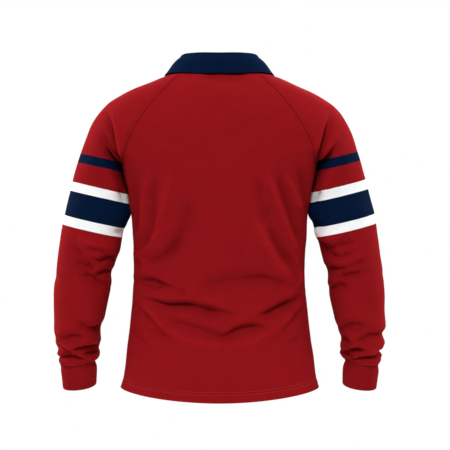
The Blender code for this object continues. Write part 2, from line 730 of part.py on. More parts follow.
def main():
    for old in list(bpy.data.objects):
        bpy.data.objects.remove(old, do_unlink=True)
    shirt = bpy.data.collections.new("rugby_shirt")
    cutters = bpy.data.collections.new("cutters")
    bpy.context.scene.collection.children.link(shirt)
    bpy.context.scene.collection.children.link(cutters)

    red = material("red_jersey", (0.26, 0.008, 0.010), 0.85)
    red_cuff = material("red_cuff", (0.24, 0.007, 0.009), 0.85)
    navy = material("navy_twill", (0.003, 0.010, 0.035), 0.80)
    rubber = material("white_rubber", (0.75, 0.74, 0.70), 0.50)

    left_sleeve, left_cuff = sleeve_grid(), cuff_grid()
    grids = {
        "back": body_grid("back"),
        "front": body_grid("front"),
        "sleeve_left": left_sleeve,
        "sleeve_right": mirrored(left_sleeve),
        "cuff_left": left_cuff,
        "cuff_right": mirrored(left_cuff),
    }
    pieces = {
        "back": "body",
        "front": "body",
        "sleeve_left": "left",
        "sleeve_right": "right",
        "cuff_left": "left",
        "cuff_right": "right",
    }
    grids = folded(grids, pieces)
    normals = shared_normals(grids)

    make_back(grids["back"], normals["back"], red, shirt)
    make_front(grids["front"], normals["front"], red, shirt)
    for side in ("left", "right"):
        sleeve, cuff = f"sleeve_{side}", f"cuff_{side}"
        make_sleeve(sleeve, grids[sleeve], normals[sleeve], red, shirt)
        make_cuff(cuff, grids[cuff], normals[cuff], red_cuff, shirt)
    make_band("placket_upper", grids["front"], normals["front"], 1, navy, shirt)
    make_band("placket_under", grids["front"], normals["front"], -1, navy, shirt)
    make_collar(grids, normals, navy, shirt)
    make_buttons(grids["front"], normals["front"], rubber, shirt, cutters)


main()
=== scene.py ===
import math

import bpy
import numpy as np
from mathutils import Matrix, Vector


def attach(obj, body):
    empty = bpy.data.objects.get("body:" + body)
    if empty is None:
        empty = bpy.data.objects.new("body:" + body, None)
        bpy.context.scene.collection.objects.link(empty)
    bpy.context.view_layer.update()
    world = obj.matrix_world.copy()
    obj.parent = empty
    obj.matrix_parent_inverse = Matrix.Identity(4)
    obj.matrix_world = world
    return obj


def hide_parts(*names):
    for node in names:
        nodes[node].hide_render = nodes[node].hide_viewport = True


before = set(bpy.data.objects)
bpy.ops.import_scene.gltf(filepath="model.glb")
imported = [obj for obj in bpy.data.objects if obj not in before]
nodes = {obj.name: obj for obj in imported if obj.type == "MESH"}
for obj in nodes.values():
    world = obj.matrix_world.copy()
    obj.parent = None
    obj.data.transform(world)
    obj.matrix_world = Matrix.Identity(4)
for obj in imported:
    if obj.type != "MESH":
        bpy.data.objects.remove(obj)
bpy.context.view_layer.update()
print("frame loaded,", len(nodes), "nodes")

# metres, the back of the shirt faces +y and its left sleeve is at +x
shirt = {
    "cloth": .0016,
    "sharpEdge": 60,   # degrees
    "underarm": (.197, 0, -.284),
    "neckZ": {"back": .008, "front": -.056},
    "hemSideZ": -.682,
    "hemCentreZ": {"back": -.700, "front": -.694},
    "climb": .5,   # how much of the way up to the top line a sleeve takes as it leaves a level seam
    "curvePoints": {"body": 361, "sleeve": 160},
    "seamSteps": [0, .0008, .0017, .0027, .0038, .0050, .0062, .0078],   # fine columns beside a seam
    "crowding": .45,   # how much closer a sleeve's columns lie near its seams
}

# where a raglan seam lies: level, x, y, z, turn, pull at the seam, pull at the top line, fullness
raglan = {
    "back": np.array([
        (0, .1970, 0, -.284, 90, .090, .090, .42), (.14, .1990, .031, -.252, 78, .070, .080, .47),
        (.26, .2060, .067, -.217, 42, .059, .068, .62), (.36, .2020, .098, -.182, 8, .052, .062, .82),
        (.45, .1910, .108, -.148, -6, .050, .060, .95), (.56, .1710, .110, -.110, -13, .047, .060, 1),
        (.70, .1409, .100, -.067, -18, .041, .055, 1), (.86, .1010, .075, -.021, -28, .026, .042, 1),
        (1, .0680, .044, .012, -36, .012, .024, 1)]),
    "front": np.array([
        (0, .1970, 0, -.284, 90, .090, .090, .42), (.14, .1985, .034, -.252, 78, .070, .080, .47),
        (.26, .2010, .070, -.218, 42, .060, .068, .62), (.36, .1940, .097, -.185, 10, .055, .062, .82),
        (.45, .1810, .106, -.153, -4, .054, .060, .95), (.56, .1600, .108, -.116, -12, .052, .060, 1),
        (.70, .1300, .099, -.076, -18, .046, .055, 1), (.86, .0920, .077, -.044, -30, .032, .042, 1),
        (1, .0580, .050, -.018, -42, .016, .026, 1)]),
}

# the line over the shoulder and down the outside of the sleeve: level, x, y, z
topLine = np.array([
    (-1.150, .3500, -.0467, -.6904), (-1.050, .3535, -.0405, -.6540), (-1.000, .3560, -.0370, -.6340),
    (-.978, .3630, -.0350, -.6260), (-.925, .3645, -.0320, -.6050), (-.820, .3660, -.0240, -.5650),
    (-.695, .3650, -.0150, -.5170), (-.555, .3625, -.0060, -.4630), (-.414, .3550, 0, -.4090),
    (-.276, .3470, .0030, -.3560), (-.115, .3362, .0030, -.2940), (0, .3250, 0, -.2500),
    (.140, .3165, 0, -.2110), (.260, .3045, 0, -.1720), (.360, .2918, 0, -.1380), (.450, .2780, 0, -.1070),
    (.560, .2548, 0, -.0727), (.700, .2140, 0, -.0445), (.860, .1470, 0, -.0150), (1, .0800, 0, .0135)])

# the line down the inside of the sleeve: level, x, y, z, half depth, lean
insideLine = np.array([
    (-1.150, .2763, -.0467, -.6830, .0370, .17), (-1.050, .2763, -.0405, -.6470, .0395, .17),
    (-1.000, .2763, -.0370, -.6280, .0420, .17), (-.978, .2680, -.0350, -.6215, .0490, .17),
    (-.925, .2665, -.0320, -.6020, .0520, .17), (-.820, .2640, -.0240, -.5700, .0570, .17),
    (-.695, .2550, -.0150, -.5250, .0600, .15), (-.555, .2425, -.0060, -.4790, .0620, .11),
    (-.414, .2340, 0, -.4300, .0640, .06), (-.276, .2205, .0030, -.3850, .0660, .02),
    (-.145, .2085, .0030, -.3370, .0680, 0), (-.098, .2025, .0025, -.3195, .0680, 0),
    (-.060, .1962, .0010, -.3060, .0680, 0), (0, .1970, 0, -.2840, .0680, 0)])

# half the body's width by height, and its reach at the centre by height
flank = np.array([
    (-.682, .2140), (-.660, .2105), (-.607, .2035), (-.554, .1970), (-.515, .1932), (-.488, .1905),
    (-.440, .1868), (-.396, .1872), (-.343, .1905), (-.310, .1930), (-.284, .1970)])
centre = {
    "back": np.array([
        (-.700, .1280), (-.640, .1220), (-.560, .1120), (-.480, .1080), (-.400, .1160), (-.300, .1300),
        (-.220, .1350), (-.150, .1320), (-.080, .1200), (-.030, .0980), (.008, .0605)]),
    "front": np.array([
        (-.694, .1280), (-.620, .1260), (-.540, .1220), (-.450, .1220), (-.350, .1270), (-.250, .1290),
        (-.180, .1210), (-.120, .1050), (-.056, .0720)]),
}
facing = {"back": 1, "front": -1}
mirror = np.array((-1.0, 1.0, 1.0))
tiny = 1e-12   # keeps a division from failing


def mix(a, b, share):
    return a + (b - a) * share


def smooth(share):
    share = np.clip(share, 0, 1)
    return share * share * (3 - 2 * share)


def dip(distance, width):
    return np.exp(-(distance / width)**2)


def unit(vectors):
    return vectors / np.maximum(np.linalg.norm(vectors, axis=-1), tiny)[..., None]


# the table's row at a level, on a smooth curve through the rows beside it
def rowAt(table, level):
    levels = table[:, 0]
    slopes = np.gradient(table, levels, axis=0)
    low = int(np.clip(np.searchsorted(levels, level) - 1, 0, len(levels) - 2))
    step = levels[low + 1] - levels[low]
    f = (level - levels[low]) / step
    row = (table[low] * (2 * f**3 - 3 * f**2 + 1) + slopes[low] * step * (f**3 - 2 * f**2 + f)
           + table[low + 1] * (3 * f**2 - 2 * f**3) + slopes[low + 1] * step * (f**3 - f**2))
    return row[1:]


def lengthsAlong(points, axis=0):
    steps = np.linalg.norm(np.diff(points, axis=axis), axis=-1)
    return np.insert(np.cumsum(steps, axis=axis), 0, 0, axis=axis)


# how far each point of a grid lies from the nearer end of its row
def fromEdge(grid):
    along = lengthsAlong(grid, 1)
    return np.minimum(along, along[:, -1:] - along)


# what the values along a line, or its own points, are at some distances from its start
def valuesAt(along, values, distances):
    return np.stack([np.interp(distances, along, values[:, axis]) for axis in range(3)], axis=1)


def pointsAt(points, distances):
    return valuesAt(lengthsAlong(points), points, distances)


# half a row of the body, from its left side seam to its right one
def bodyCurve(face, level):
    underarmZ = shirt["underarm"][2]
    if level >= 0:
        seamX, seamY, seamZ, _, _, _, fullness = rowAt(raglan[face], level)
        centreZ = mix(underarmZ, shirt["neckZ"][face], level)
    else:
        seamZ = mix(underarmZ, shirt["hemSideZ"], -level)
        seamX, seamY, fullness = rowAt(flank, seamZ)[0], 0, raglan[face][0, 7]
        centreZ = mix(underarmZ, shirt["hemCentreZ"][face], -level)
    reach = rowAt(centre[face], centreZ)[0] - seamY
    angle = np.linspace(math.pi / 2, -math.pi / 2, shirt["curvePoints"]["body"])
    across = np.sin(angle)
    y = seamY + reach * np.clip(np.cos(angle), 0, None) ** (2 * fullness)
    return np.stack((seamX * across, y * facing[face], mix(centreZ, seamZ, across**2)), axis=1)


# the body's depth is evened over these levels either side of the underarms, by so many metres of height,
# and less so within some metres of the seams
evening = {"levels": .30, "height": .024, "beside": .045}


def evened(grid, levels):
    rows = abs(levels) < evening["levels"]
    z, y = grid[rows, :, 2], grid[rows, :, 1]
    weight = np.exp(-((z[:, None] - z[None]) / evening["height"])**2 / 2) * abs(np.gradient(z, axis=0))[None]
    soft = (weight * y[None]).sum(axis=1) / weight.sum(axis=1)
    share = smooth(fromEdge(grid[rows]) / evening["beside"])
    share *= smooth(2 - 2 * abs(levels[rows]) / evening["levels"])[:, None]
    grid[rows, :, 1] = mix(y, soft, share)
    return grid


# half a row of the left sleeve, from its seam round to its top line
def sleeveCurve(face, level):
    topPoint = rowAt(topLine, level)
    out = np.array((0.0, facing[face], 0.0))
    t = np.linspace(0, 1, shirt["curvePoints"]["sleeve"])[:, None]
    if level < 0:
        x, y, z, depth, lean = rowAt(insideLine, level)
        pull = depth * 4 / 3   # brings the middle of the curve out by the depth
        start, leave = np.array((x, y, z)), out * pull
    else:
        x, y, z, turn, seamPull, pull, _ = rowAt(raglan[face], level)
        start, turn = np.array((x, y * facing[face], z)), math.radians(turn)
        leave = np.array((math.cos(turn), math.sin(turn) * facing[face], 0)) * seamPull
        leave[2] = (topPoint[2] - z) * mix(shirt["climb"], 0, min(1, max(0, turn / math.radians(90))))
    curve = (start * (1 - t)**3 + 3 * (start + leave) * t * (1 - t)**2
             + 3 * (topPoint + out * pull) * t**2 * (1 - t) + topPoint * t**3)
    if level < 0:
        curve[:, 2] -= lean * (curve[:, 1] - y)
    return curve


# points along each curve: fine beside both seams, even between or crowded towards them
def laidOut(curves, columns, crowding=0):
    near = np.array(shirt["seamSteps"])
    share = np.linspace(0, 1, columns)[1:-1]
    share -= crowding * np.sin(2 * math.pi * share) / (2 * math.pi)
    rows = []
    for curve in curves:
        length = lengthsAlong(curve)[-1]
        inner = mix(near[-1], length - near[-1], share)
        rows.append(pointsAt(curve, np.concatenate((near, inner, (length - near)[::-1]))))
    return np.array(rows)


def bodyGrid(face, levels):
    curves = [bodyCurve(face, level)[::facing[face]] for level in levels]
    return evened(laidOut(curves, body["columns"]), levels)


def sleeveGrid(levels):
    halves = [(sleeveCurve("front", level), sleeveCurve("back", level)[-2::-1]) for level in levels]
    return laidOut([np.concatenate(half) for half in halves], sleeve["columns"], shirt["crowding"])


# points that agree to this many decimals are one, and those this near to an underarm are its corner
welded = {"decimals": 6, "corner": 1e-5}


# outward normals, averaged over all the panels that meet at a point
def sharedNormals(grids):
    points = np.concatenate([grid.reshape(-1, 3) for grid in grids.values()])
    sums = []
    for grid in grids.values():
        facets = np.cross(grid[1:, 1:] - grid[:-1, :-1], grid[:-1, 1:] - grid[1:, :-1])
        total = np.zeros(grid.shape)
        for rows in (slice(None, -1), slice(1, None)):
            for columns in (slice(None, -1), slice(1, None)):
                total[rows, columns] += facets
        sums.append(total.reshape(-1, 3))
    _, place = np.unique(np.round(points, welded["decimals"]), axis=0, return_inverse=True)
    place = place.ravel()
    total = unit(np.stack([np.bincount(place, column) for column in np.concatenate(sums).T], axis=1))
    normals, start = {}, 0
    for name, grid in grids.items():
        size = grid.shape[0] * grid.shape[1]
        normals[name] = total[place[start:start + size]].reshape(grid.shape)
        for sign in (1, -1):
            corner = np.array(shirt["underarm"]) * (sign, 1, 1)
            normals[name][np.linalg.norm(grid - corner, axis=-1) < welded["corner"]] = (0, 0, -1)
        start += size
    return normals


# creases, by the piece and the side that they are seen from: width and depth in mm (a ridge is negative),
# hang (how far the cloth above swells out over it, as a share of the depth), then the points of its line
# in mm, across (x, or y where seen from a side) and up (z)
seenFrom = {"back": (1, 1), "front": (1, -1), "left": (0, 1), "right": (0, -1)}   # axis looked along, sign
creases = {}
creases["body", "back"] = [
    # the long fold below the waist, then the one that meets it from the right side
    (4, 8, .4, 165, -486, 140, -489, 115, -494, 90, -494, 62, -494, 40, -500),
    (8, 7, .5, 145, -491, 110, -497, 75, -495, 41, -501, 10, -508, -12, -514),
    (6.5, 6.5, .5, 50, -497, 20, -505, -5, -511, -50, -525),
    (18, 4.5, 0, 135, -498, 85, -500, 40, -507, -20, -520),
    (4, 5.5, .4, -178, -482, -150, -489, -128, -500, -105, -511, -80, -524),
    (8, 6.5, .5, -192, -482, -150, -492, -112, -508, -68, -530),
    (18, 4.5, 0, -168, -490, -125, -506, -80, -526),
    (8, 4, 0, -176, -497, -155, -504, -133, -513),
    # the flat v under them
    (4, 5, .4, -108, -548, -80, -541, -61, -541, -44, -544, -27, -553, -6, -563),
    (8, 6, .5, -115, -553, -70, -541, -35, -549, -8, -564, 12, -565),
    (15, 4, 0, -105, -550, -60, -546, -10, -564, 35, -551),
    (9, 6.5, .4, 130, -523, 100, -532, 70, -539, 40, -548, 12, -558, -12, -567),
    # the eye-shaped pocket beside the waist on the left
    (4.5, 6, .7, 195, -452, 165, -444, 146, -443, 130, -448, 105, -458, 82, -465),
    (5, 5.5, 0, 176, -455, 160, -461, 135, -463, 108, -465),
    (11, 5.5, 0, 180, -450, 148, -450, 112, -460),
    (14, 5, 0, 86, -462, 76, -484),
    # the long shallow one across the waist
    (18, 8, 0, 50, -463, 8, -452, -38, -442, -92, -437, -165, -456),
    (7, 5.5, .7, -20, -450, -65, -443, -90, -441, -112, -444, -140, -455, -174, -462),
    # the broad roll that hangs round all of these, with its troughs
    (10, 6.5, 0, 178, -500, 152, -527, 132, -547, 106, -571),
    (7, -6.5, 0, 180, -488, 150, -514, 130, -535, 112, -553),
    (12, -7, 0, 141, -511, 114, -544, 82, -565, 40, -578, -12, -583, -48, -580, -78, -570, -108, -556,
     -138, -536, -160, -508),
    (5, 4, .3, 160, -550, 137, -556, 115, -563, 92, -572),
    (10, 6.5, 0, -190, -504, -168, -523, -145, -545, -115, -570),
    (7, -5.5, 0, -186, -488, -167, -508, -151, -525, -130, -549),
    (7, 4, 0, 192, -562, 170, -574, 143, -597),
    (7, 3.5, 0, -182, -567, -160, -577, -137, -593),
    # slack under the left arm
    (6, -7, 0, 145, -202, 153, -244, 160, -275, 163, -307, 168, -334, 180, -360),
    (9, 7, 0, 175, -222, 183, -274, 180, -328, 182, -356),
    (10, 9, 0, 130, -208, 140, -254, 143, -307, 148, -343, 163, -373, 182, -388),
    (7, -8.5, 0, 98, -200, 105, -242, 113, -282, 123, -317, 133, -349, 147, -375, 168, -391, 192, -392),
    (15, 9, 0, 65, -262, 69, -305, 82, -347, 106, -383, 141, -407),
    (9, 7, .2, 82, -350, 104, -382, 135, -403, 172, -414),
    (5, -5, 0, 180, -392, 162, -406, 163, -422, 184, -438),
    # and under the right one
    (6.5, -9, 0, -100, -200, -106, -234, -117, -270, -128, -301, -145, -339, -164, -377, -182, -413),
    (12, 6, 0, -83, -226, -98, -288, -117, -334),
    (8.5, 11, 0, -123, -210, -136, -257, -152, -303, -168, -345, -184, -378),
    (6, -7, 0, -140, -216, -151, -248, -167, -281, -186, -324),
    (9, 9, 0, -168, -206, -177, -237, -189, -281, -197, -317),
    (11, -11, 0, -75, -300, -88, -343, -103, -379, -122, -408, -146, -435, -172, -450),
    (11, 12, 0, -102, -322, -122, -366, -142, -398, -176, -431),
    (4, -6.5, 0, -155, -378, -167, -407, -175, -428, -174, -449, -158, -470),
    # below the collar
    (15, 6, 0, 45, -4, 20, -13, -12, -17, -42, -12, -62, -2),
]
creases["body", "front"] = [
    (4, 7, .4, 170, -474, 135, -484, 100, -487, 60, -484, 25, -492),
    (8, 6, .5, 184, -470, 130, -486, 60, -486, 0, -502),
    (18, 5, 0, 160, -484, 80, -490, 0, -506),
    (4, 6, .4, -172, -483, -130, -488, -90, -499, -50, -513),
    (8, 6, .5, -186, -482, -130, -490, -70, -507, -30, -522),
    (18, 5, 0, -170, -488, -110, -500, -50, -520),
    (7, 6, .4, 150, -543, 110, -556, 65, -555, 30, -544),
    (14, 4, 0, 150, -548, 95, -562, 30, -548),
    (7, 5.5, .4, -150, -560, -105, -568, -60, -562, -20, -548),
    (16, 6.5, 0, 80, -430, 0, -444, -85, -434),
    (6, 5.5, .6, 175, -432, 140, -440, 100, -436),
    (6, 6, .6, -60, -428, -105, -436, -150, -448),
    (7, -7.5, 0, -128, -250, -140, -300, -152, -350, -182, -395),
    (9, 8, 0, -112, -262, -124, -330, -160, -395),
    (9, 8, 0, -158, -230, -172, -290, -186, -345),
    (7, -7.5, 0, 124, -240, 140, -300, 154, -345, 184, -385),
    (9, 8, 0, 106, -256, 122, -325, 162, -392),
    (9, 8, 0, 156, -226, 172, -282, 184, -335),
    (8, 6, 0, 178, -498, 150, -527, 112, -560),
    (8, 6, 0, -184, -502, -146, -534, -104, -570),
    (14, -7, 0, 140, -520, 90, -572, 0, -588, -90, -578, -142, -532),
    (10, 4, 0, 150, -120, 124, -170, 114, -230),
    (10, 4, 0, -150, -122, -128, -176, -118, -236),
]
creases["left", "back"] = [
    # from the armhole
    (4.5, 20, .4, 241, -78, 233, -105, 226, -132, 220, -160, 213, -188, 205, -212, 199, -238, 197, -270),
    (4.5, 15, .3, 251, -120, 240, -148, 230, -168, 218, -188, 207, -207),
    (5.5, 26, .4, 255, -142, 243, -166, 231, -188, 217, -210, 206, -230, 200, -250, 199, -285),
    (5, 13, 0, 214, -252, 209, -267, 202, -292),
    (8, 6, 0, 223, -352, 213, -341, 201, -335),
    # at the elbow
    (8, 9, .4, 318, -360, 305, -384, 290, -403, 275, -418, 256, -432),
    (7, 8.5, .4, 320, -403, 299, -413, 282, -420, 258, -432),
    (7, 11, .5, 304, -434, 284, -438, 268, -444, 254, -455, 238, -470),
    (8, 8, .4, 300, -382, 262, -381, 244, -390, 226, -399),
    (7, 11, .5, 284, -390, 265, -404, 247, -405, 233, -399, 215, -389),
    (7.5, 12, .4, 270, -441, 253, -433, 238, -428, 226, -425),
    (7, -6, 0, 307, -349, 285, -366, 264, -374, 240, -377),
    # where the sleeve's end gathers on the cuff
    (9, 11, .4, 316, -529, 295, -546, 277, -553, 260, -548, 238, -531),
    (9, 11, .5, 364, -593, 340, -576, 320, -570, 300, -574, 283, -588),
    (6.5, 14, .4, 338, -611, 311, -602, 290, -597, 271, -594, 243, -587),
    (6, 11, .3, 304, -618, 282, -612, 268, -610, 243, -604),
    (7, 8, .4, 371, -584, 352, -597, 335, -603, 318, -609),
    (5.5, 13, .3, 374, -625, 351, -620, 329, -618, 309, -620, 274, -631),
    (4.5, -6, 0, 356, -585, 332, -598, 313, -609, 292, -616, 269, -625),
]
creases["left", "front"] = [
    (4.5, 12, .3, 240, -100, 228, -146, 216, -190, 206, -240, 201, -290),
    (5, 10, .3, 258, -146, 238, -190, 220, -225, 205, -270),
    (8, 10, .4, 340, -400, 310, -420, 270, -432),
    (7, 10, .4, 236, -421, 256, -430, 280, -434),
    (7, 9, .4, 330, -452, 296, -458, 260, -475),
    (7, 7, .4, 320, -375, 286, -386, 248, -382),
    (9, 9, .4, 332, -547, 300, -542, 266, -557),
    (8, 9, .4, 362, -579, 330, -572, 294, -585),
    (6, 12, .4, 348, -607, 310, -598, 264, -602),
    (5.5, 11, .3, 370, -622, 328, -619, 278, -628),
]
creases["left", "left"] = [
    (10, 1.5, 0, -42, -452, 0, -441, 42, -450),
    (9, 4, .2, -70, -578, -32, -569, 10, -577),
    (6, 9, .4, -78, -603, -45, -598, -8, -607),
    (5, 8, .3, -74, -622, -42, -624, -6, -617),
]
creases["right", "back"] = [
    (4.5, 20, .4, -243, -80, -231, -112, -223, -136, -214, -168, -208, -194, -202, -216,
     -199, -240, -198, -270),
    (5.5, 26, .4, -255, -142, -240, -170, -227, -190, -213, -211, -203, -231, -199, -252, -198, -285),
    (5, 13, 0, -217, -253, -210, -270, -203, -292),
    (8, 7, 0, -219, -339, -208, -326, -197, -317),
    (9, 12, .5, -195, -350, -216, -367, -230, -376, -254, -373),
    (7.5, 9, .4, -226, -387, -243, -396, -261, -398, -277, -391, -298, -379),
    (8, 13, .4, -223, -419, -232, -422, -244, -423, -261, -423, -284, -418),
    (7, 8.5, .5, -268, -427, -286, -416, -301, -409, -320, -404),
    (7, 11, .5, -244, -451, -264, -441, -281, -435, -297, -433, -318, -429),
    (7, 10, .5, -230, -475, -245, -464, -258, -459, -280, -464),
    (7, 7, .4, -236, -386, -256, -373, -273, -371, -296, -362),
    (7, 5.5, .4, -248, -371, -264, -360, -282, -349),
    (9, 11, .4, -252, -566, -272, -549, -289, -543, -308, -546, -332, -561),
    (7, 5, 0, -272, -557, -292, -560, -313, -554),
    (8.5, 11, .4, -244, -554, -264, -573, -275, -582, -292, -592),
    (8.5, 11, .4, -290, -592, -309, -578, -329, -568, -350, -566, -382, -569),
    (6.5, 15, .4, -244, -613, -271, -608, -286, -603, -306, -603, -335, -613),
    (6.5, 12, .3, -244, -606, -267, -617, -280, -621, -300, -625),
    (5.5, 13, .3, -280, -632, -303, -623, -325, -619, -346, -617, -374, -606),
    (5.5, 8, 0, -344, -607, -370, -607),
    (4.5, -6, 0, -276, -624, -299, -614, -320, -608, -346, -602),
]
creases["right", "front"] = [
    (4.5, 12, .3, -238, -102, -226, -148, -214, -196, -206, -240, -201, -290),
    (5, 10, .3, -254, -150, -236, -192, -218, -226, -205, -268),
    (8, 10, .4, -340, -405, -300, -416, -260, -412),
    (7, 10, .4, -236, -429, -258, -436, -286, -430),
    (7, 8, .4, -336, -449, -300, -452, -260, -441),
    (9, 9, .4, -336, -557, -304, -546, -270, -551),
    (8, 9, .4, -260, -571, -292, -588, -328, -593),
    (6, 12, .4, -348, -603, -310, -610, -266, -601),
    (5.5, 11, .3, -368, -617, -330, -624, -282, -629),
]
creases["right", "right"] = [
    (10, 1.5, 0, -38, -428, 4, -436, 44, -427),
    (9, 4, .2, -68, -560, -30, -570, 8, -562),
    (6, 9, .4, -76, -608, -42, -602, -8, -599),
    (5, 8, .3, -72, -617, -40, -625, -6, -623),
]


# how a crease is pressed in
crease = {
    "reach": 9,   # how far off it is still reckoned, in widths
    "edgeOn": .35,   # how far round the side it goes on
    "sharpness": 1.6,
    "widening": 3,   # how much wider its lower side is, for a hang of one
    "swell": 3.2,   # how far up the cloth above it swells out, in widths
    "end": .3,   # the share of its line over which each end runs out
    "endDepth": .12,
    "steps": 16,   # places along its line for each point given
}


# a smooth line through the given points, and how far along it each place is
def smoothLine(knots):
    table = np.column_stack((np.arange(len(knots)), knots))
    places = np.linspace(0, len(knots) - 1, crease["steps"] * len(knots))
    return np.array([rowAt(table, place) for place in places]), places / (len(knots) - 1)


# how far one crease sinks each point of a panel; turned is how squarely the point faces the viewer
def creaseDepth(flat, turned, width, depth, hang, path):
    line, share = smoothLine(np.array(path, float).reshape(-1, 2) / 1000)
    width, depth = width / 1000, depth / 1000
    reach = width * crease["reach"]
    total = np.zeros(len(flat))
    near = np.all((flat > line.min(0) - reach) & (flat < line.max(0) + reach), axis=1)
    near = np.flatnonzero(near & (turned > -crease["edgeOn"]))
    if not len(near):
        return total
    away = flat[near, None] - line[None]
    distance = np.linalg.norm(away, axis=2)
    closest = distance.argmin(axis=1)
    chosen = np.arange(len(near)), closest
    away, distance = away[chosen], distance[chosen]
    along = np.gradient(line, axis=0)
    upward = unit(np.stack((-along[:, 1], along[:, 0]), axis=1))
    upward *= np.where(upward[:, 1] < 0, -1, 1)[:, None]
    above = np.sum(away * upward[closest], axis=1)
    upper = .5 + .5 * above / np.maximum(distance, tiny)
    fold = np.exp(-(distance / (width * mix(1 + crease["widening"] * hang, 1, upper)))**crease["sharpness"])
    rise = 1 - dip(np.clip(above, 0, None), width)
    swell = hang * rise * dip(distance, crease["swell"] * width)
    ends = smooth(np.minimum(share, 1 - share) / crease["end"])[closest]
    fade = np.clip((turned[near] + crease["edgeOn"]) / (2 * crease["edgeOn"]), 0, 1)
    total[near] = depth * mix(crease["endDepth"], 1, ends) * fade * (fold - swell)
    return total


def creasesOf(part, points, normals):
    total = np.zeros(len(points))
    for seen, (axis, sign) in seenFrom.items():
        for width, depth, hang, *path in creases.get((part, seen), ()):
            total += creaseDepth(points[:, [1 - axis, 2]], normals[:, axis] * sign, width, depth, hang, path)
    return total


# a slow unevenness all over the cloth, made of waves: height, then radians per metre along x, y and z
def sway(points):
    def wave(x, y, z, start=0):
        return np.sin(points @ np.array((x, y, z)) + start)

    return (.0006 * wave(38, 3, 17, 1) + .0005 * wave(-23, 31, 44)
            + .0004 * wave(71, 0, -29, 2) * wave(0, 0, 53, 5) + .0003 * wave(40, 61, 97))


# the levels of a panel's rows, from stretches (first, last, rows) and single ones
def levelTable(*stretches, single=()):
    return np.unique(np.concatenate([np.linspace(*stretch) for stretch in stretches] + [single]))[::-1]


# a mark beside a seam or an edge is a height (+ stands out), a width and a distance, and a raised band
# is a height, its far side and how wide its slopes are
yokeRows = (1, 0, 106)
hemLine = -.947
hemSteps = (-.006, -.003, -.0015, 0, .0015, .003, .006)
body = {
    "levels": levelTable(yokeRows, (0, -.34, 42), (-.34, -.76, 88), (-.76, -1, 32),
                         single=[hemLine + step for step in hemSteps] + [-.9965, -.9985]),
    "columns": 166,
    "seam": (-.0010, .0014, 0),
    "hemRows": (hemLine, hemLine - .0105),   # twin rows of stitches
    "hemStitches": (-.0011, .0013, -.0023),
    "hemEdge": (-.0009, .0018, .0045),
    "hemFlare": (.0030, .003, .030),   # out by, from this far above the stitches, over this height
}
sleeve = {
    "levels": levelTable(yokeRows, (0, -.80, 100), (-.80, -1, 46)),
    "columns": 164,
    "allowance": (.0010, .0058, .0012),   # the band over the seam allowance beside the raglan seam
    "allowanceEdge": (-.0009, .0012, .0056),
    "yokeFade": .03,   # levels over which the raglan seam turns into the underarm seam
    "underarmSeam": .6,   # how deep that one is beside the raglan seam
    "overCuff": (.0012, .0028, .0045),
    "stitchColumns": (2, 5, -3, -6),
}
cuff = {
    "levels": levelTable((-1, -1.15, 44)),
    "cloth": .0016,
    "seam": (-.0006, .0014, 0),
    "fold": (.0011, .0052, .0015),
    "foldEdge": (-.0005, .0012, .0052),
    "edge": (-.0005, .0012, 0),
    "stitchRows": (1, 4),
}
# where the arm lies on the body
armhole = {
    "tuck": (.0230, .0080),   # depth and width of the fold along the seam
    "tuckTop": (.40, .18),   # the level where it starts, and over how many levels
    "tuckFoot": .03,
    "shade": (.022, .0150),   # painted shadow: the colour darkens as if the cloth were this much deeper, over this width
    "straight": (.6, .2, .05),   # from this level down, over this many, and how far from the seam
    "foot": .1,   # levels below the underarm over which the shade and the straightening end
    "creaseStop": (.06, .005),   # creases stop at the raglan seam: levels, and how far from it
}
baseGrids = {name: bodyGrid(name, body["levels"]) for name in facing}
for piece, part in (("sleeve", sleeve), ("cuff", cuff)):
    baseGrids[piece + "_left"] = sleeveGrid(part["levels"])
for piece in ("sleeve", "cuff"):
    baseGrids[piece + "_right"] = baseGrids[piece + "_left"][:, ::-1] * mirror
baseNormals = sharedNormals(baseGrids)
print("base panels laid out")


def rowNear(part, level):
    return int(np.argmin(abs(part["levels"] - level)))


def mark(distance, height, width, place):
    return height * dip(distance - place, width)


def band(distance, height, end, slope):
    return height * smooth(distance / slope) * smooth((end - distance) / slope)


# how far each point stands out (+) or in (-) for its seams and hem
def seamRelief(name, grid):
    edge = fromEdge(grid)
    below = lengthsAlong(grid[::-1])[::-1]
    if name in facing:
        overHem = below - below[rowNear(body, hemLine)]
        height, start, slope = body["hemFlare"]
        relief = mark(edge, *body["seam"]) + height * smooth((start - overHem) / slope)
        return relief + mark(overHem, *body["hemStitches"]) + mark(below, *body["hemEdge"]), edge
    if name.startswith("sleeve"):
        yoke = smooth(sleeve["levels"] / sleeve["yokeFade"] + .5)[:, None]
        relief = yoke * (band(edge, *sleeve["allowance"]) + mark(edge, *sleeve["allowanceEdge"]))
        relief += mark(edge, *body["seam"]) * mix(sleeve["underarmSeam"], 1, yoke)
        return relief + mark(below, *cuff["seam"]) + mark(below, *sleeve["overCuff"]), edge
    above = lengthsAlong(grid)
    relief = mark(above, *cuff["seam"]) + band(above, *cuff["fold"]) + mark(above, *cuff["foldEdge"])
    return relief + mark(below, *cuff["edge"]), edge
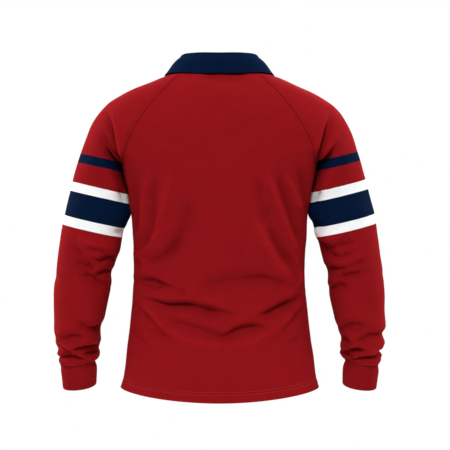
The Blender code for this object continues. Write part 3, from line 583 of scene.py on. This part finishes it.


# the panel's points, the depth that sets their painted shade (their creases, plus a painted shadow beside the
# armhole), and how far each lies from its seams
def shaped(name, grid, normals):
    relief, edge = seamRelief(name, grid)
    points = grid.reshape(-1, 3)
    part = "body" if name in facing else name.split("_")[1]
    depth = creasesOf(part, points, normals.reshape(-1, 3)).reshape(edge.shape)
    inward, hollow = normals.copy(), depth
    if not name.startswith("cuff"):
        levels = (body if part == "body" else sleeve)["levels"][:, None]
        fade, width = armhole["creaseStop"]
        depth = depth * (1 - smooth(levels / fade + .5) * dip(edge, width))
        start, fade = armhole["tuckTop"]
        tucked = smooth((start - levels) / fade)
        tuck, width = armhole["tuck"]
        depth += tuck * tucked * smooth(levels / armhole["tuckFoot"]) * dip(edge, width)
        # beside the armhole the cloth sinks straight in, without moving sideways
        foot = smooth(levels / armhole["foot"] + 1)
        start, fade, width = armhole["straight"]
        inward[..., 0] *= 1 - smooth((start - levels) / fade) * foot * dip(edge, width)
        # painted shadow along the armhole, added to the crease depth that darkens the colour
        shade, width = armhole["shade"]
        hollow = depth + shade * tucked * foot * dip(edge, width)
    out = relief + sway(points).reshape(edge.shape)
    return grid + normals * out[..., None] - inward * depth[..., None], hollow, edge


shapes = {name: shaped(name, grid, baseNormals[name]) for name, grid in baseGrids.items()}
grids = {name: shape[0] for name, shape in shapes.items()}
normals = sharedNormals(grids)
print("creases pressed in")


def addObject(name, data):
    made = bpy.data.objects.new(name, data)
    bpy.context.scene.collection.objects.link(made)
    return made


# a cloth wall: outer and inner side with a rim at each open edge, its map laid out in metres
def addPiece(node, name, points, directions, thickness, material, slot, closedFrom=None, **layers):
    rows, columns = points.shape[:2]
    count = rows * columns
    plain = np.arange(count).reshape(rows, columns)
    index = plain.copy()
    if closedFrom is not None:
        index[closedFrom:, -1] = index[closedFrom:, 0]

    def facets(numbers):
        around = (numbers[:-1, :-1], numbers[1:, :-1], numbers[1:, 1:], numbers[:-1, 1:])
        return np.stack(around, axis=-1).reshape(-1, 4)

    def edgeEnds(corners):
        return corners.ravel(), np.roll(corners, -1, axis=1).ravel()

    corners, mapCorners = facets(index), facets(plain)
    a, b = edgeEnds(corners)
    rim = ~np.isin(a * count + b, b * count + a)
    a, b = a[rim], b[rim]
    mapA, mapB = (ends[rim] for ends in edgeEnds(mapCorners))
    walls = np.stack((b, a, a + count, b + count), axis=1)
    faces = np.concatenate((corners, corners[:, ::-1] + count, walls))
    mapFaces = np.concatenate((mapCorners, mapCorners[:, ::-1], np.stack((mapB, mapA, mapA, mapB), axis=1)))
    half = directions * thickness / 2
    vertices = np.concatenate(((points + half).reshape(-1, 3), (points - half).reshape(-1, 3)))
    used = np.zeros(len(vertices), bool)
    used[faces.ravel()] = True
    mesh = bpy.data.meshes.new(name)
    mesh.from_pydata(vertices[used], [], (np.cumsum(used) - 1)[faces])
    across = lengthsAlong(points, 1)
    across -= across[:, -1:] / 2
    flatMap = np.stack((across, -lengthsAlong(points)), axis=-1).reshape(-1, 2)
    mesh.uv_layers.new(name="cut").data.foreach_set("uv", flatMap[mapFaces.ravel()].ravel())
    mesh.shade_smooth()
    mesh.set_sharp_from_angle(angle=math.radians(shirt["sharpEdge"]))
    mesh.materials.append(material)
    for layer, values in layers.items():
        both = np.tile(values.ravel(), 2)[used].astype(np.float32)
        mesh.attributes.new(layer, "FLOAT", "POINT").data.foreach_set("value", both)
    made = addObject(name, mesh)
    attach(made, "root")
    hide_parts(node)


def addNode(tree, kind, inputs=None, **settings):
    made = tree.nodes.new(kind)
    for key, value in settings.items():
        setattr(made, key, value)
    for key, value in (inputs or {}).items():
        if isinstance(value, bpy.types.NodeSocket):
            tree.links.new(value, made.inputs[key])
        else:
            made.inputs[key].default_value = value
    return made


def newGroup(name, inputs, outputs):
    group = bpy.data.node_groups.new(name, "ShaderNodeTree")
    for label, kind, value in inputs:
        socket = group.interface.new_socket(name=label, in_out="INPUT", socket_type="NodeSocket" + kind)
        if value is not None:
            socket.default_value = value
    for label, kind in outputs:
        group.interface.new_socket(name=label, in_out="OUTPUT", socket_type="NodeSocket" + kind)
    return group, group.nodes.new("NodeGroupInput").outputs, group.nodes.new("NodeGroupOutput").inputs


def maths(tree, operation, a, b=0, c=0):
    return addNode(tree, "ShaderNodeMath", {0: a, 1: b, 2: c}, operation=operation).outputs[0]


def noise(tree, place, scale, detail=2):
    inputs = {"Vector": place, "Scale": scale, "Detail": detail}
    return addNode(tree, "ShaderNodeTexNoise", inputs).outputs["Fac"]


def scaled(tree, colour, share):
    return addNode(tree, "ShaderNodeVectorMath", {0: colour, "Scale": share}, operation="SCALE").outputs[0]


def attribute(tree, name):
    return addNode(tree, "ShaderNodeAttribute", attribute_name=name).outputs["Fac"]


def bump(tree, shader, height, distance, strength):
    made = addNode(tree, "ShaderNodeBump", {"Height": height, "Distance": distance, "Strength": strength})
    tree.links.new(made.outputs["Normal"], shader.inputs["Normal"])


def newMaterial(name, roughness, specular=.5):
    made = bpy.data.materials.new(name)
    made.use_nodes = True
    shader = made.node_tree.nodes["Principled BSDF"]
    shader.inputs["Roughness"].default_value = roughness
    shader.inputs["Specular IOR Level"].default_value = specular
    return made, made.node_tree, shader, made.node_tree.nodes.new("ShaderNodeTexCoord").outputs


# colours between two, by a noise
def mottled(tree, shader, place, scale, dark, light):
    ramp = addNode(tree, "ShaderNodeValToRGB", {0: noise(tree, place, scale)})
    ramp.color_ramp.elements[0].color = (*dark, 1)
    ramp.color_ramp.elements[1].color = (*light, 1)
    tree.links.new(ramp.outputs["Color"], shader.inputs["Base Color"])


weaves = {
    "knit": {"lean": 1.6, "course": .35, "fuzz": .7, "fuzzScale": 900, "shade": .06},
    "twill": {"slant": .6, "fuzz": .8, "fuzzScale": 1200, "shade": .05},
}


# by the cloth's own map, a knit's columns of small v loops or a twill's steep diagonal ribs
def weaveGroup(weave):
    look = weaves[weave]
    group, given, result = newGroup(weave, [("Map", "Vector", None), ("Count", "Float", None)],
                                    [("Height", "Float"), ("Shade", "Float")])
    turns = maths(group, "MULTIPLY", given["Count"], 2 * math.pi)
    across, along = addNode(group, "ShaderNodeSeparateXYZ", {0: given["Map"]}).outputs[:2]
    if weave == "knit":
        wale = maths(group, "ABSOLUTE", maths(group, "SINE", maths(group, "MULTIPLY", across, turns)))
        lean = maths(group, "MULTIPLY", wale, look["lean"])
        course = maths(group, "SINE", maths(group, "MULTIPLY_ADD", along, turns, lean))
        threads = maths(group, "MULTIPLY_ADD", course, look["course"], wale)
    else:
        slant = maths(group, "MULTIPLY_ADD", along, look["slant"], across)
        threads = maths(group, "SINE", maths(group, "MULTIPLY", slant, turns))
    fuzz = noise(group, given["Map"], look["fuzzScale"], 3)
    group.links.new(maths(group, "MULTIPLY_ADD", fuzz, look["fuzz"], threads), result["Height"])
    # painted shade: the colour is a little darker where the loops or ribs sink
    shade = maths(group, "MULTIPLY_ADD", threads, look["shade"], 1 - look["shade"])
    group.links.new(shade, result["Shade"])
    return group


# dyed cloth is never one even tone, and the painted shade given to this group darkens it too
dyeing = {"broad": 34, "fine": 160, "fineShare": .6, "middle": .8, "amount": .18, "threadAmount": .2}


def toneGroup():
    group, given, result = newGroup(
        "dyeToneAndPaintedShade", [("Colour", "Color", None), ("Shade", "Float", 1), ("Place", "Vector", None),
                    ("Amount", "Float", dyeing["amount"])], [("Colour", "Color")])
    broad = noise(group, given["Place"], dyeing["broad"], 3)
    fine = noise(group, given["Place"], dyeing["fine"])
    both = maths(group, "MULTIPLY_ADD", fine, dyeing["fineShare"], broad)
    tone = maths(group, "MULTIPLY_ADD", maths(group, "SUBTRACT", both, dyeing["middle"]), given["Amount"], 1)
    tone = maths(group, "MULTIPLY", tone, given["Shade"])
    group.links.new(scaled(group, given["Colour"], tone), result["Colour"])
    return group


groups = {"knit": weaveGroup("knit"), "twill": weaveGroup("twill"), "tone": toneGroup()}


def addTone(tree, place, colour, **more):
    inputs = {"Place": place["Object"], "Colour": colour, **more}
    return addNode(tree, "ShaderNodeGroup", inputs, node_tree=groups["tone"]).outputs["Colour"]


# the six stripe edges down each sleeve, as height less tilt, and where they sit on the colour ramp
dyes = {"red": (.245, .0054, .0080), "navy": (.0009, .0074, .0300), "white": (.86, .88, .88)}
stripes = {
    "tilt": {"left": -.2296, "right": .2405},
    "lean": {"left": .015, "right": .050},
    "left": (-.4037, -.3832, -.3269, -.3076, -.2613, -.2422),
    "right": (-.4040, -.3836, -.3260, -.3050, -.2594, -.2392),
    "ramp": (.30, .40, .60, .70, .80, .90),
    "colours": ("red", "white", "navy", "white", "red", "navy", "red"),
    "wander": (500, .0025),   # how fine and how far their edges wander
    "plain": (.0036, .24),   # none this near to the raglan seam, above this level
}
finish = {
    "roughness": .9,
    "specular": .03,
    "bumpStrength": .6,
    "paintedShadePerMetre": 18,   # painted shade: how much darker the colour is made for each metre of crease depth
    "rimBlend": .35,
    "rimPower": 2,
}


def stripeColour(tree, place, plain):
    scale, wander = stripes["wander"]
    level = maths(tree, "MULTIPLY_ADD", noise(tree, place["UV"], scale, 1), wander, attribute(tree, "course"))
    ramp = addNode(tree, "ShaderNodeValToRGB", {0: level})
    ramp.color_ramp.interpolation = "CONSTANT"
    points = ramp.color_ramp.elements
    for number, (start, colour) in enumerate(zip((0, *stripes["ramp"]), stripes["colours"])):
        point = points[number] if number < 2 else points.new(start)
        point.position = start
        point.color = (*dyes[colour], 1)
    inputs = {0: attribute(tree, "plain"), 6: ramp.outputs["Color"], 7: plain}
    return addNode(tree, "ShaderNodeMix", inputs, data_type="RGBA").outputs[2]


def clothMaterial(name, weave, count, depth, paintedEdgeLight, dye, striped=False):
    made, tree, shader, place = newMaterial(name, finish["roughness"], finish["specular"])
    surface = addNode(tree, "ShaderNodeGroup", {"Map": place["UV"], "Count": count}, node_tree=groups[weave])
    # painted shade: the colour is made darker where the cloth is creased and beside the armhole
    paintedCreaseShade = maths(tree, "MULTIPLY_ADD", attribute(tree, "hollow"), -finish["paintedShadePerMetre"], 1)
    shade = maths(tree, "MULTIPLY", surface.outputs["Shade"], paintedCreaseShade)
    colour = stripeColour(tree, place, (*dye, 1)) if striped else (*dye, 1)
    tone = addTone(tree, place, colour, Shade=shade)
    # painted highlight: the base colour is made lighter towards the silhouette, as if the nap caught light
    # there
    grazing = addNode(tree, "ShaderNodeLayerWeight", {"Blend": finish["rimBlend"]})
    rim = maths(tree, "POWER", grazing.outputs["Facing"], finish["rimPower"])
    lifted = scaled(tree, tone, maths(tree, "MULTIPLY_ADD", rim, paintedEdgeLight, 1))
    tree.links.new(lifted, shader.inputs["Base Color"])
    bump(tree, shader, surface.outputs["Height"], depth, finish["bumpStrength"])
    return made


# weave, loops or ribs per metre, their depth, how much painted edge highlight the base colour gets, and the
# dye
redJersey = clothMaterial("redJersey", "knit", 700, .0003, .9, dyes["red"])
stripedJersey = clothMaterial("stripedJersey", "knit", 700, .0003, .9, dyes["red"], striped=True)
redCuff = clothMaterial("redCuff", "knit", 640, .0004, .6, (.214, .0046, .0068))
navyTwill = clothMaterial("navyTwill", "twill", 800, .0003, 1.9, (.0009, .0082, .0325))


# where each point lies on the stripes' colour ramp
def courseOf(grid, way):
    height = grid[..., 2] + stripes["tilt"][way] * grid[..., 0] + stripes["lean"][way] * grid[..., 1]
    edges, ramp = stripes[way], stripes["ramp"]
    slope = (ramp[-1] - ramp[0]) / (edges[-1] - edges[0])
    course = np.interp(height, edges, ramp) + slope * (height - np.clip(height, edges[0], edges[-1]))
    return np.clip(course, .01, .99)


for name in facing:
    addPiece(name, name + "Panel", grids[name], normals[name], shirt["cloth"], redJersey, "red_jersey",
             hollow=shapes[name][1])
for way in ("left", "right"):
    name = "sleeve_" + way
    width, lowest = stripes["plain"]
    beside = (shapes[name][2] < width) & (sleeve["levels"][:, None] > lowest)
    addPiece(name, "sleeve" + way.capitalize(), grids[name], normals[name], shirt["cloth"], stripedJersey,
             "red_jersey", rowNear(sleeve, 0), course=courseOf(grids[name], way), hollow=shapes[name][1],
             plain=beside.astype(float))
    name = "cuff_" + way
    addPiece(name, "cuff" + way.capitalize(), grids[name], normals[name], cuff["cloth"], redCuff,
             "red_cuff", 0)
print("body, sleeves and cuffs made")

thread = {
    "pitch": .0033,
    "length": .0027,
    "thickness": .0003,
    "wander": .00012,
    "lift": .0001,
    "lengths": (.85, 1.1),   # how much the stitches' lengths differ
    "facets": (6, 4),
    "roughness": .6,
    "specular": .2,
}


def stitchTree():
    tree = bpy.data.node_groups.new("stitchRow", "GeometryNodeTree")
    for label, kind in (("Line", "Geometry"), ("Pitch", "Float"), ("Length", "Float"), ("Thickness", "Float"),
                        ("Wander", "Float"), ("Seed", "Int"), ("Thread", "Material")):
        tree.interface.new_socket(name=label, in_out="INPUT", socket_type="NodeSocket" + kind)
    tree.interface.new_socket(name="Stitches", in_out="OUTPUT", socket_type="NodeSocketGeometry")
    given, result = tree.nodes.new("NodeGroupInput").outputs, tree.nodes.new("NodeGroupOutput")

    def add(kind, inputs=None, output=0, **settings):
        return addNode(tree, kind, inputs, **settings).outputs[output]

    curve = add("GeometryNodeMeshToCurve", {"Mesh": given["Line"]})
    spaced = add("GeometryNodeResampleCurve", {"Curve": curve, "Length": given["Pitch"]}, mode="LENGTH")
    low, high = (add("ShaderNodeCombineXYZ", dict.fromkeys(range(3), value))
                 for value in (maths(tree, "MULTIPLY", given["Wander"], -1), given["Wander"]))
    shift = add("FunctionNodeRandomValue", {"Min": low, "Max": high, "Seed": given["Seed"]},
                data_type="FLOAT_VECTOR")
    moved = add("GeometryNodeSetPosition", {"Geometry": spaced, "Offset": shift})
    segments, rings = thread["facets"]
    ball = add("GeometryNodeMeshUVSphere", {"Segments": segments, "Rings": rings, "Radius": 1.0}, "Mesh")
    half = maths(tree, "MULTIPLY", given["Length"], .5)
    size = add("ShaderNodeCombineXYZ", {0: given["Thickness"], 1: given["Thickness"], 2: half})
    stitch = add("GeometryNodeTransform", {"Geometry": ball, "Scale": size})
    turned = add("FunctionNodeAlignRotationToVector", {"Vector": add("GeometryNodeInputTangent")}, axis="Z")
    shortest, longest = thread["lengths"]
    length = add("FunctionNodeRandomValue", {"Min": shortest, "Max": longest, "Seed": given["Seed"]}, 1,
                 data_type="FLOAT")
    placed = add("GeometryNodeInstanceOnPoints",
                 {"Points": moved, "Instance": stitch, "Rotation": turned, "Scale": length})
    real = add("GeometryNodeRealizeInstances", {"Geometry": placed})
    soft = add("GeometryNodeSetShadeSmooth", {"Geometry": real})
    dressed = add("GeometryNodeSetMaterial", {"Geometry": soft, "Material": given["Thread"]})
    tree.links.new(dressed, result.inputs[0])
    return tree


def threadMaterial(name, colour):
    made, tree, shader, place = newMaterial(name, thread["roughness"], thread["specular"])
    tone = addTone(tree, place, (*colour, 1), Amount=dyeing["threadAmount"])
    tree.links.new(tone, shader.inputs["Base Color"])
    return made


rowOfStitches = stitchTree()
threads = {
    "red": threadMaterial("redThread", (.150, .0035, .0050)),
    "hem": threadMaterial("hemThread", (.420, .0420, .0520)),
    "navy": threadMaterial("navyThread", (.0040, .0140, .0450)),
    "cream": threadMaterial("creamThread", (.62, .60, .54)),
}


# each line is a row of points along the cloth, given as one stretch of small edges
def sew(name, lines, colour, seed, **changes):
    edges, start = [], 0
    for line in lines:
        edges += [(start + k, start + k + 1) for k in range(len(line) - 1)]
        start += len(line)
    mesh = bpy.data.meshes.new(name)
    mesh.from_pydata(np.concatenate(lines), edges, [])
    made = addObject(name, mesh)
    worked = made.modifiers.new("stitches", "NODES")
    worked.node_group = rowOfStitches
    wanted = {key.capitalize(): value for key, value in {**thread, **changes}.items()}
    wanted.update(Seed=seed, Thread=threads[colour])
    for socket in rowOfStitches.interface.items_tree:
        if socket.name in wanted:
            worked[socket.identifier] = wanted[socket.name]
    depsgraph = bpy.context.evaluated_depsgraph_get()
    plain = bpy.data.meshes.new_from_object(made.evaluated_get(depsgraph))
    made.modifiers.clear()
    made.data = plain
    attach(made, "root")
    return made


# the places on a cloth where thread lies
def sewnFace(points, directions, thickness):
    return points + directions * (thickness / 2 + thread["lift"])


sewnFaces = {name: sewnFace(grids[name], normals[name], shirt["cloth"]) for name in grids}
for number, name in enumerate(facing):
    lines = [sewnFaces[name][rowNear(body, level)] for level in body["hemRows"]]
    sew(name + "HemStitches", lines, "hem", number)
for number, way in enumerate(("left", "right"), 3):
    name = "sleeve_" + way
    lines = [sewnFaces[name][:rowNear(sleeve, 0) + 1, column] for column in sleeve["stitchColumns"]]
    sew("raglanStitches" + way.capitalize(), lines, "red", number)
    name = "cuff_" + way
    rounds = [sewnFaces[name][row, :-1] for row in cuff["stitchRows"]]
    lines = [np.concatenate((line, line[:1])) for line in rounds]
    sew("cuffStitches" + way.capitalize(), lines, "red", number + 2)
print("body sewn")

collar = {
    "cloth": .0020,
    "opening": .006,
    "seamGap": .0007,
    "roll": .0045,   # the roll's radius
    "lift": .0034,   # the leaf's edge over the shirt
    "bow": .0036,   # how far the leaf stands out of its straight line
    "columns": 61,
    "rows": {"stand": 9, "roll": 11, "leaf": 25},
    "stitchLine": .005,
    "stitchEnd": 26,   # rows up from the leaf's edge at the collar's ends
    "probe": .01,   # how far apart the places are that tell which way the shirt faces
    # share of the way round from the centre front, roll x, y, z, share and level of the leaf's edge
    "lines": np.array([
        (0, .0050, -.0800, -.0300, .112, .720), (.15, .0370, -.0740, -.0170, .190, .780),
        (.30, .0640, -.0540, .0080, .290, .850), (.43, .0775, -.0280, .0280, .410, .900),
        (.55, .0820, .0010, .0342, .520, .920), (.68, .0755, .0330, .0378, .630, .925),
        (.82, .0470, .0560, .0375, .760, .937), (1, 0, .0660, .0360, 1, .951)]),
}


def halfLoop(level):
    front, back = bodyCurve("front", level), bodyCurve("back", level)
    middle = len(front) // 2
    return np.concatenate((front[middle::-1], sleeveCurve("front", level)[1:],
                           sleeveCurve("back", level)[::-1][1:], back[1:middle + 1]))


def onShirt(share, level):
    loop = halfLoop(level)
    return pointsAt(loop, [share * lengthsAlong(loop)[-1]])[0]


def aboveShirt(share, level, height):
    probe = collar["probe"]
    roundWay = onShirt(share + probe, level) - onShirt(share - probe, level)
    downWay = onShirt(share, level - probe) - onShirt(share, level + probe)
    return onShirt(share, level) + height * unit(np.cross(downWay, roundWay))


# the collar cut through at one place: up the stand, over the roll and down the leaf
def collarSection(base, share):
    rollX, rollY, rollZ, edgeShare, edgeLevel = rowAt(collar["lines"], share)
    roll = np.array((rollX, rollY, rollZ))
    edge = aboveShirt(edgeShare, edgeLevel, collar["lift"])
    out = unit((edge - roll) * (1, 1, 0))
    up = np.array((0, 0, 1))
    rows, bow = collar["rows"], collar["bow"] * 27 / 4   # the fraction makes its highest place the bow
    turn = [roll + collar["roll"] * (up * math.sin(angle) - out * math.cos(angle))
            for angle in np.linspace(0, math.pi, rows["roll"])]
    stand = [mix(base, turn[0], part) for part in np.linspace(0, 1, rows["stand"])[:-1]]
    leaf = [mix(turn[-1], edge, part) + out * bow * part * (1 - part)**2
            for part in np.linspace(0, 1, rows["leaf"])[1:]]
    return np.array(stand + turn + leaf)


def neckEdge():
    middle = grids["front"].shape[1] // 2
    parts = (("front", slice(middle, None)), ("sleeve_left", slice(1, None)), ("back", slice(1, middle + 1)))
    edge, way = (np.concatenate([values[name][0, columns] for name, columns in parts])
                 for values in (grids, normals))
    edge[:, 2] += shirt["cloth"] / 2 * way[:, 2] + collar["seamGap"]
    edge[0, 0] = collar["opening"] / 2
    return edge


neck = neckEdge()
shares = np.linspace(0, 1, collar["columns"])
bases = pointsAt(neck, shares * lengthsAlong(neck)[-1])
sections = [collarSection(base, share) for base, share in zip(bases, shares)]
sections += [section * mirror for section in sections[-2::-1]]
collarGrid = np.array(sections).transpose(1, 0, 2)[::-1]
collarNormals = sharedNormals({"collar": collarGrid})["collar"]
addPiece("collar", "collarFold", collarGrid, collarNormals, collar["cloth"], navyTwill, "navy_twill")
face = sewnFace(collarGrid, collarNormals, collar["cloth"])
inset = [pointsAt(face[:, column], [collar["stitchLine"]])[0] for column in range(1, face.shape[1] - 1)]
rise = lengthsAlong(face[:, 1]) > collar["stitchLine"]
ends = [face[rise, column][:collar["stitchEnd"]] for column in (1, -2)]
lines = [np.concatenate((ends[0][::-1], inset, ends[1]))]
sew("collarStitches", lines, "navy", 9)
print("collar made")

placket = {
    "halfWidth": .016,
    "cloth": .0018,
    "gap": .0003,
    "bottomLevel": 1 - 11 / 14,
    "slack": .004,   # levels that the bands' last row may lie below it
    "columns": 17,
    "boxRows": 12,
    "crossPoints": 12,
}


# a band over (1) or under (-1) the front, along its middle
def bandGrid(ply):
    rows = body["levels"] >= placket["bottomLevel"] - placket["slack"]
    away = ply * (shirt["cloth"] / 2 + placket["gap"] + placket["cloth"] / 2)
    bandPoints, bandNormals = [], []
    for line, way in zip(grids["front"][rows], normals["front"][rows]):
        along = lengthsAlong(line)
        middle = np.interp(0, line[:, 0], along)
        places = middle + np.linspace(-placket["halfWidth"], placket["halfWidth"], placket["columns"])
        turned = valuesAt(along, way, places)
        bandPoints.append(pointsAt(line, places) + turned * away)
        bandNormals.append(turned)
    return np.array(bandPoints), np.array(bandNormals)


for name, ply in (("placket_upper", 1), ("placket_under", -1)):
    points, directions = bandGrid(ply)
    label = "placket" + name[8:].capitalize()
    addPiece(name, label, points, directions, placket["cloth"], navyTwill, "navy_twill")
    if ply == 1:
        face = sewnFace(points, directions, placket["cloth"])
        low, box, count = -2, -2 - placket["boxRows"], placket["crossPoints"]
        crossed = [np.linspace(face[start, 1], face[end, -2], count)
                   for start, end in ((box, low), (low, box))]
        border = np.concatenate((face[:low, 1], face[low, 1:-1], face[:low, -2][::-1]))
        sew("placketStitches", [border, face[box, 1:-1], *crossed], "navy", 11)
print("placket made")

button = {
    "height": .0030,
    "sunk": .70,   # the share of the height at which the thread lies in the button's dish
    "holes": .0018,
    "threadLift": .0003,
    "roughness": .5,
    "dark": (.70, .69, .65),
    "light": (.80, .79, .76),
    "grain": (700, 3, .0001, .4),   # scale, detail, depth and strength
    "mottle": 90,
    "thread": {"pitch": .0013, "length": .0022, "thickness": .00035, "wander": 0},
}


def rubberMaterial():
    made, tree, shader, place = newMaterial("whiteRubber", button["roughness"])
    mottled(tree, shader, place["Object"], button["mottle"], button["dark"], button["light"])
    scale, detail, depth, strength = button["grain"]
    bump(tree, shader, noise(tree, place["Object"], scale, detail), depth, strength)
    return made


rubber = rubberMaterial()
bars = []
for number in (1, 2, 3):
    node = nodes[f"button_{number}"]
    node.material_slots[0].material = rubber
    corners = np.array([vertex.co for vertex in node.data.vertices])
    middle = corners.mean(axis=0)
    outward = Vector(np.linalg.svd(corners - middle)[2][2])
    outward *= -1 if outward.y > 0 else 1
    base = float(np.min((corners - middle) @ np.array(outward)))
    turn = outward.to_track_quat("Z", "Y")
    level = base + button["height"] * button["sunk"] + button["threadLift"]
    places = np.linspace(-button["holes"], button["holes"], 3)
    for way in (1, -1):
        bars.append(np.array([Vector(middle) + turn @ Vector((x, x * way, level)) for x in places]))
sew("buttonThreads", bars, "cream", 13, **button["thread"])

studio = {
    "camera": (-.0121, 2.4, -.328),
    "wide": .99,
    "sensor": 36,
    # each lamp's place and power
    "lamps": {"key": ((.3, 3.8, 2.5), 219), "left": ((2.4, -.8, .6), 60), "right": ((-2.4, -.7, .9), 64),
              "front": ((-.2, -2.5, 1.5), 50)},
    "lampSize": 1.6,
    "light": .20,   # what the white surroundings give, seen as full white by the camera
    "floorZ": -1.15,
    "floorSize": 2.4,
    "floor": {"dark": (.88, .88, .88), "light": (.92, .92, .92), "scale": 3, "roughness": .9},
}


def addStudio():
    target = Vector((studio["camera"][0], 0, studio["camera"][2]))
    data = bpy.data.cameras.new("camera")
    data.sensor_width = studio["sensor"]
    data.lens = studio["sensor"] * studio["camera"][1] / studio["wide"]
    camera = addObject("camera", data)
    camera.location = studio["camera"]
    camera.rotation_euler = (math.pi / 2, 0, math.pi)
    bpy.context.scene.camera = camera

    for name, (place, power) in studio["lamps"].items():
        lamp = bpy.data.lights.new(name, "AREA")
        lamp.size = studio["lampSize"]
        lamp.energy = power
        made = addObject(name, lamp)
        made.location = place
        made.rotation_euler = (target - Vector(place)).to_track_quat("-Z", "Y").to_euler()

    world = bpy.data.worlds.new("studio")
    world.use_nodes = True
    bpy.context.scene.world = world
    tree = world.node_tree
    seen = tree.nodes.new("ShaderNodeLightPath").outputs["Is Camera Ray"]
    strength = maths(tree, "MULTIPLY_ADD", seen, 1 - studio["light"], studio["light"])
    back = tree.nodes["Background"]
    back.inputs["Color"].default_value = (1, 1, 1, 1)
    tree.links.new(strength, back.inputs["Strength"])

    size, look = studio["floorSize"] / 2, studio["floor"]
    mesh = bpy.data.meshes.new("floor")
    corners = [(x * size, y * size, studio["floorZ"]) for x, y in ((-1, -1), (1, -1), (1, 1), (-1, 1))]
    mesh.from_pydata(corners, [], [(0, 1, 2, 3)])
    pale, tree, shader, place = newMaterial("paleFloor", look["roughness"])
    mottled(tree, shader, place["Object"], look["scale"], look["dark"], look["light"])
    mesh.materials.append(pale)
    floor = addObject("floor", mesh)
    bpy.context.scene.view_settings.view_transform = "Standard"


addStudio()
print("studio set")
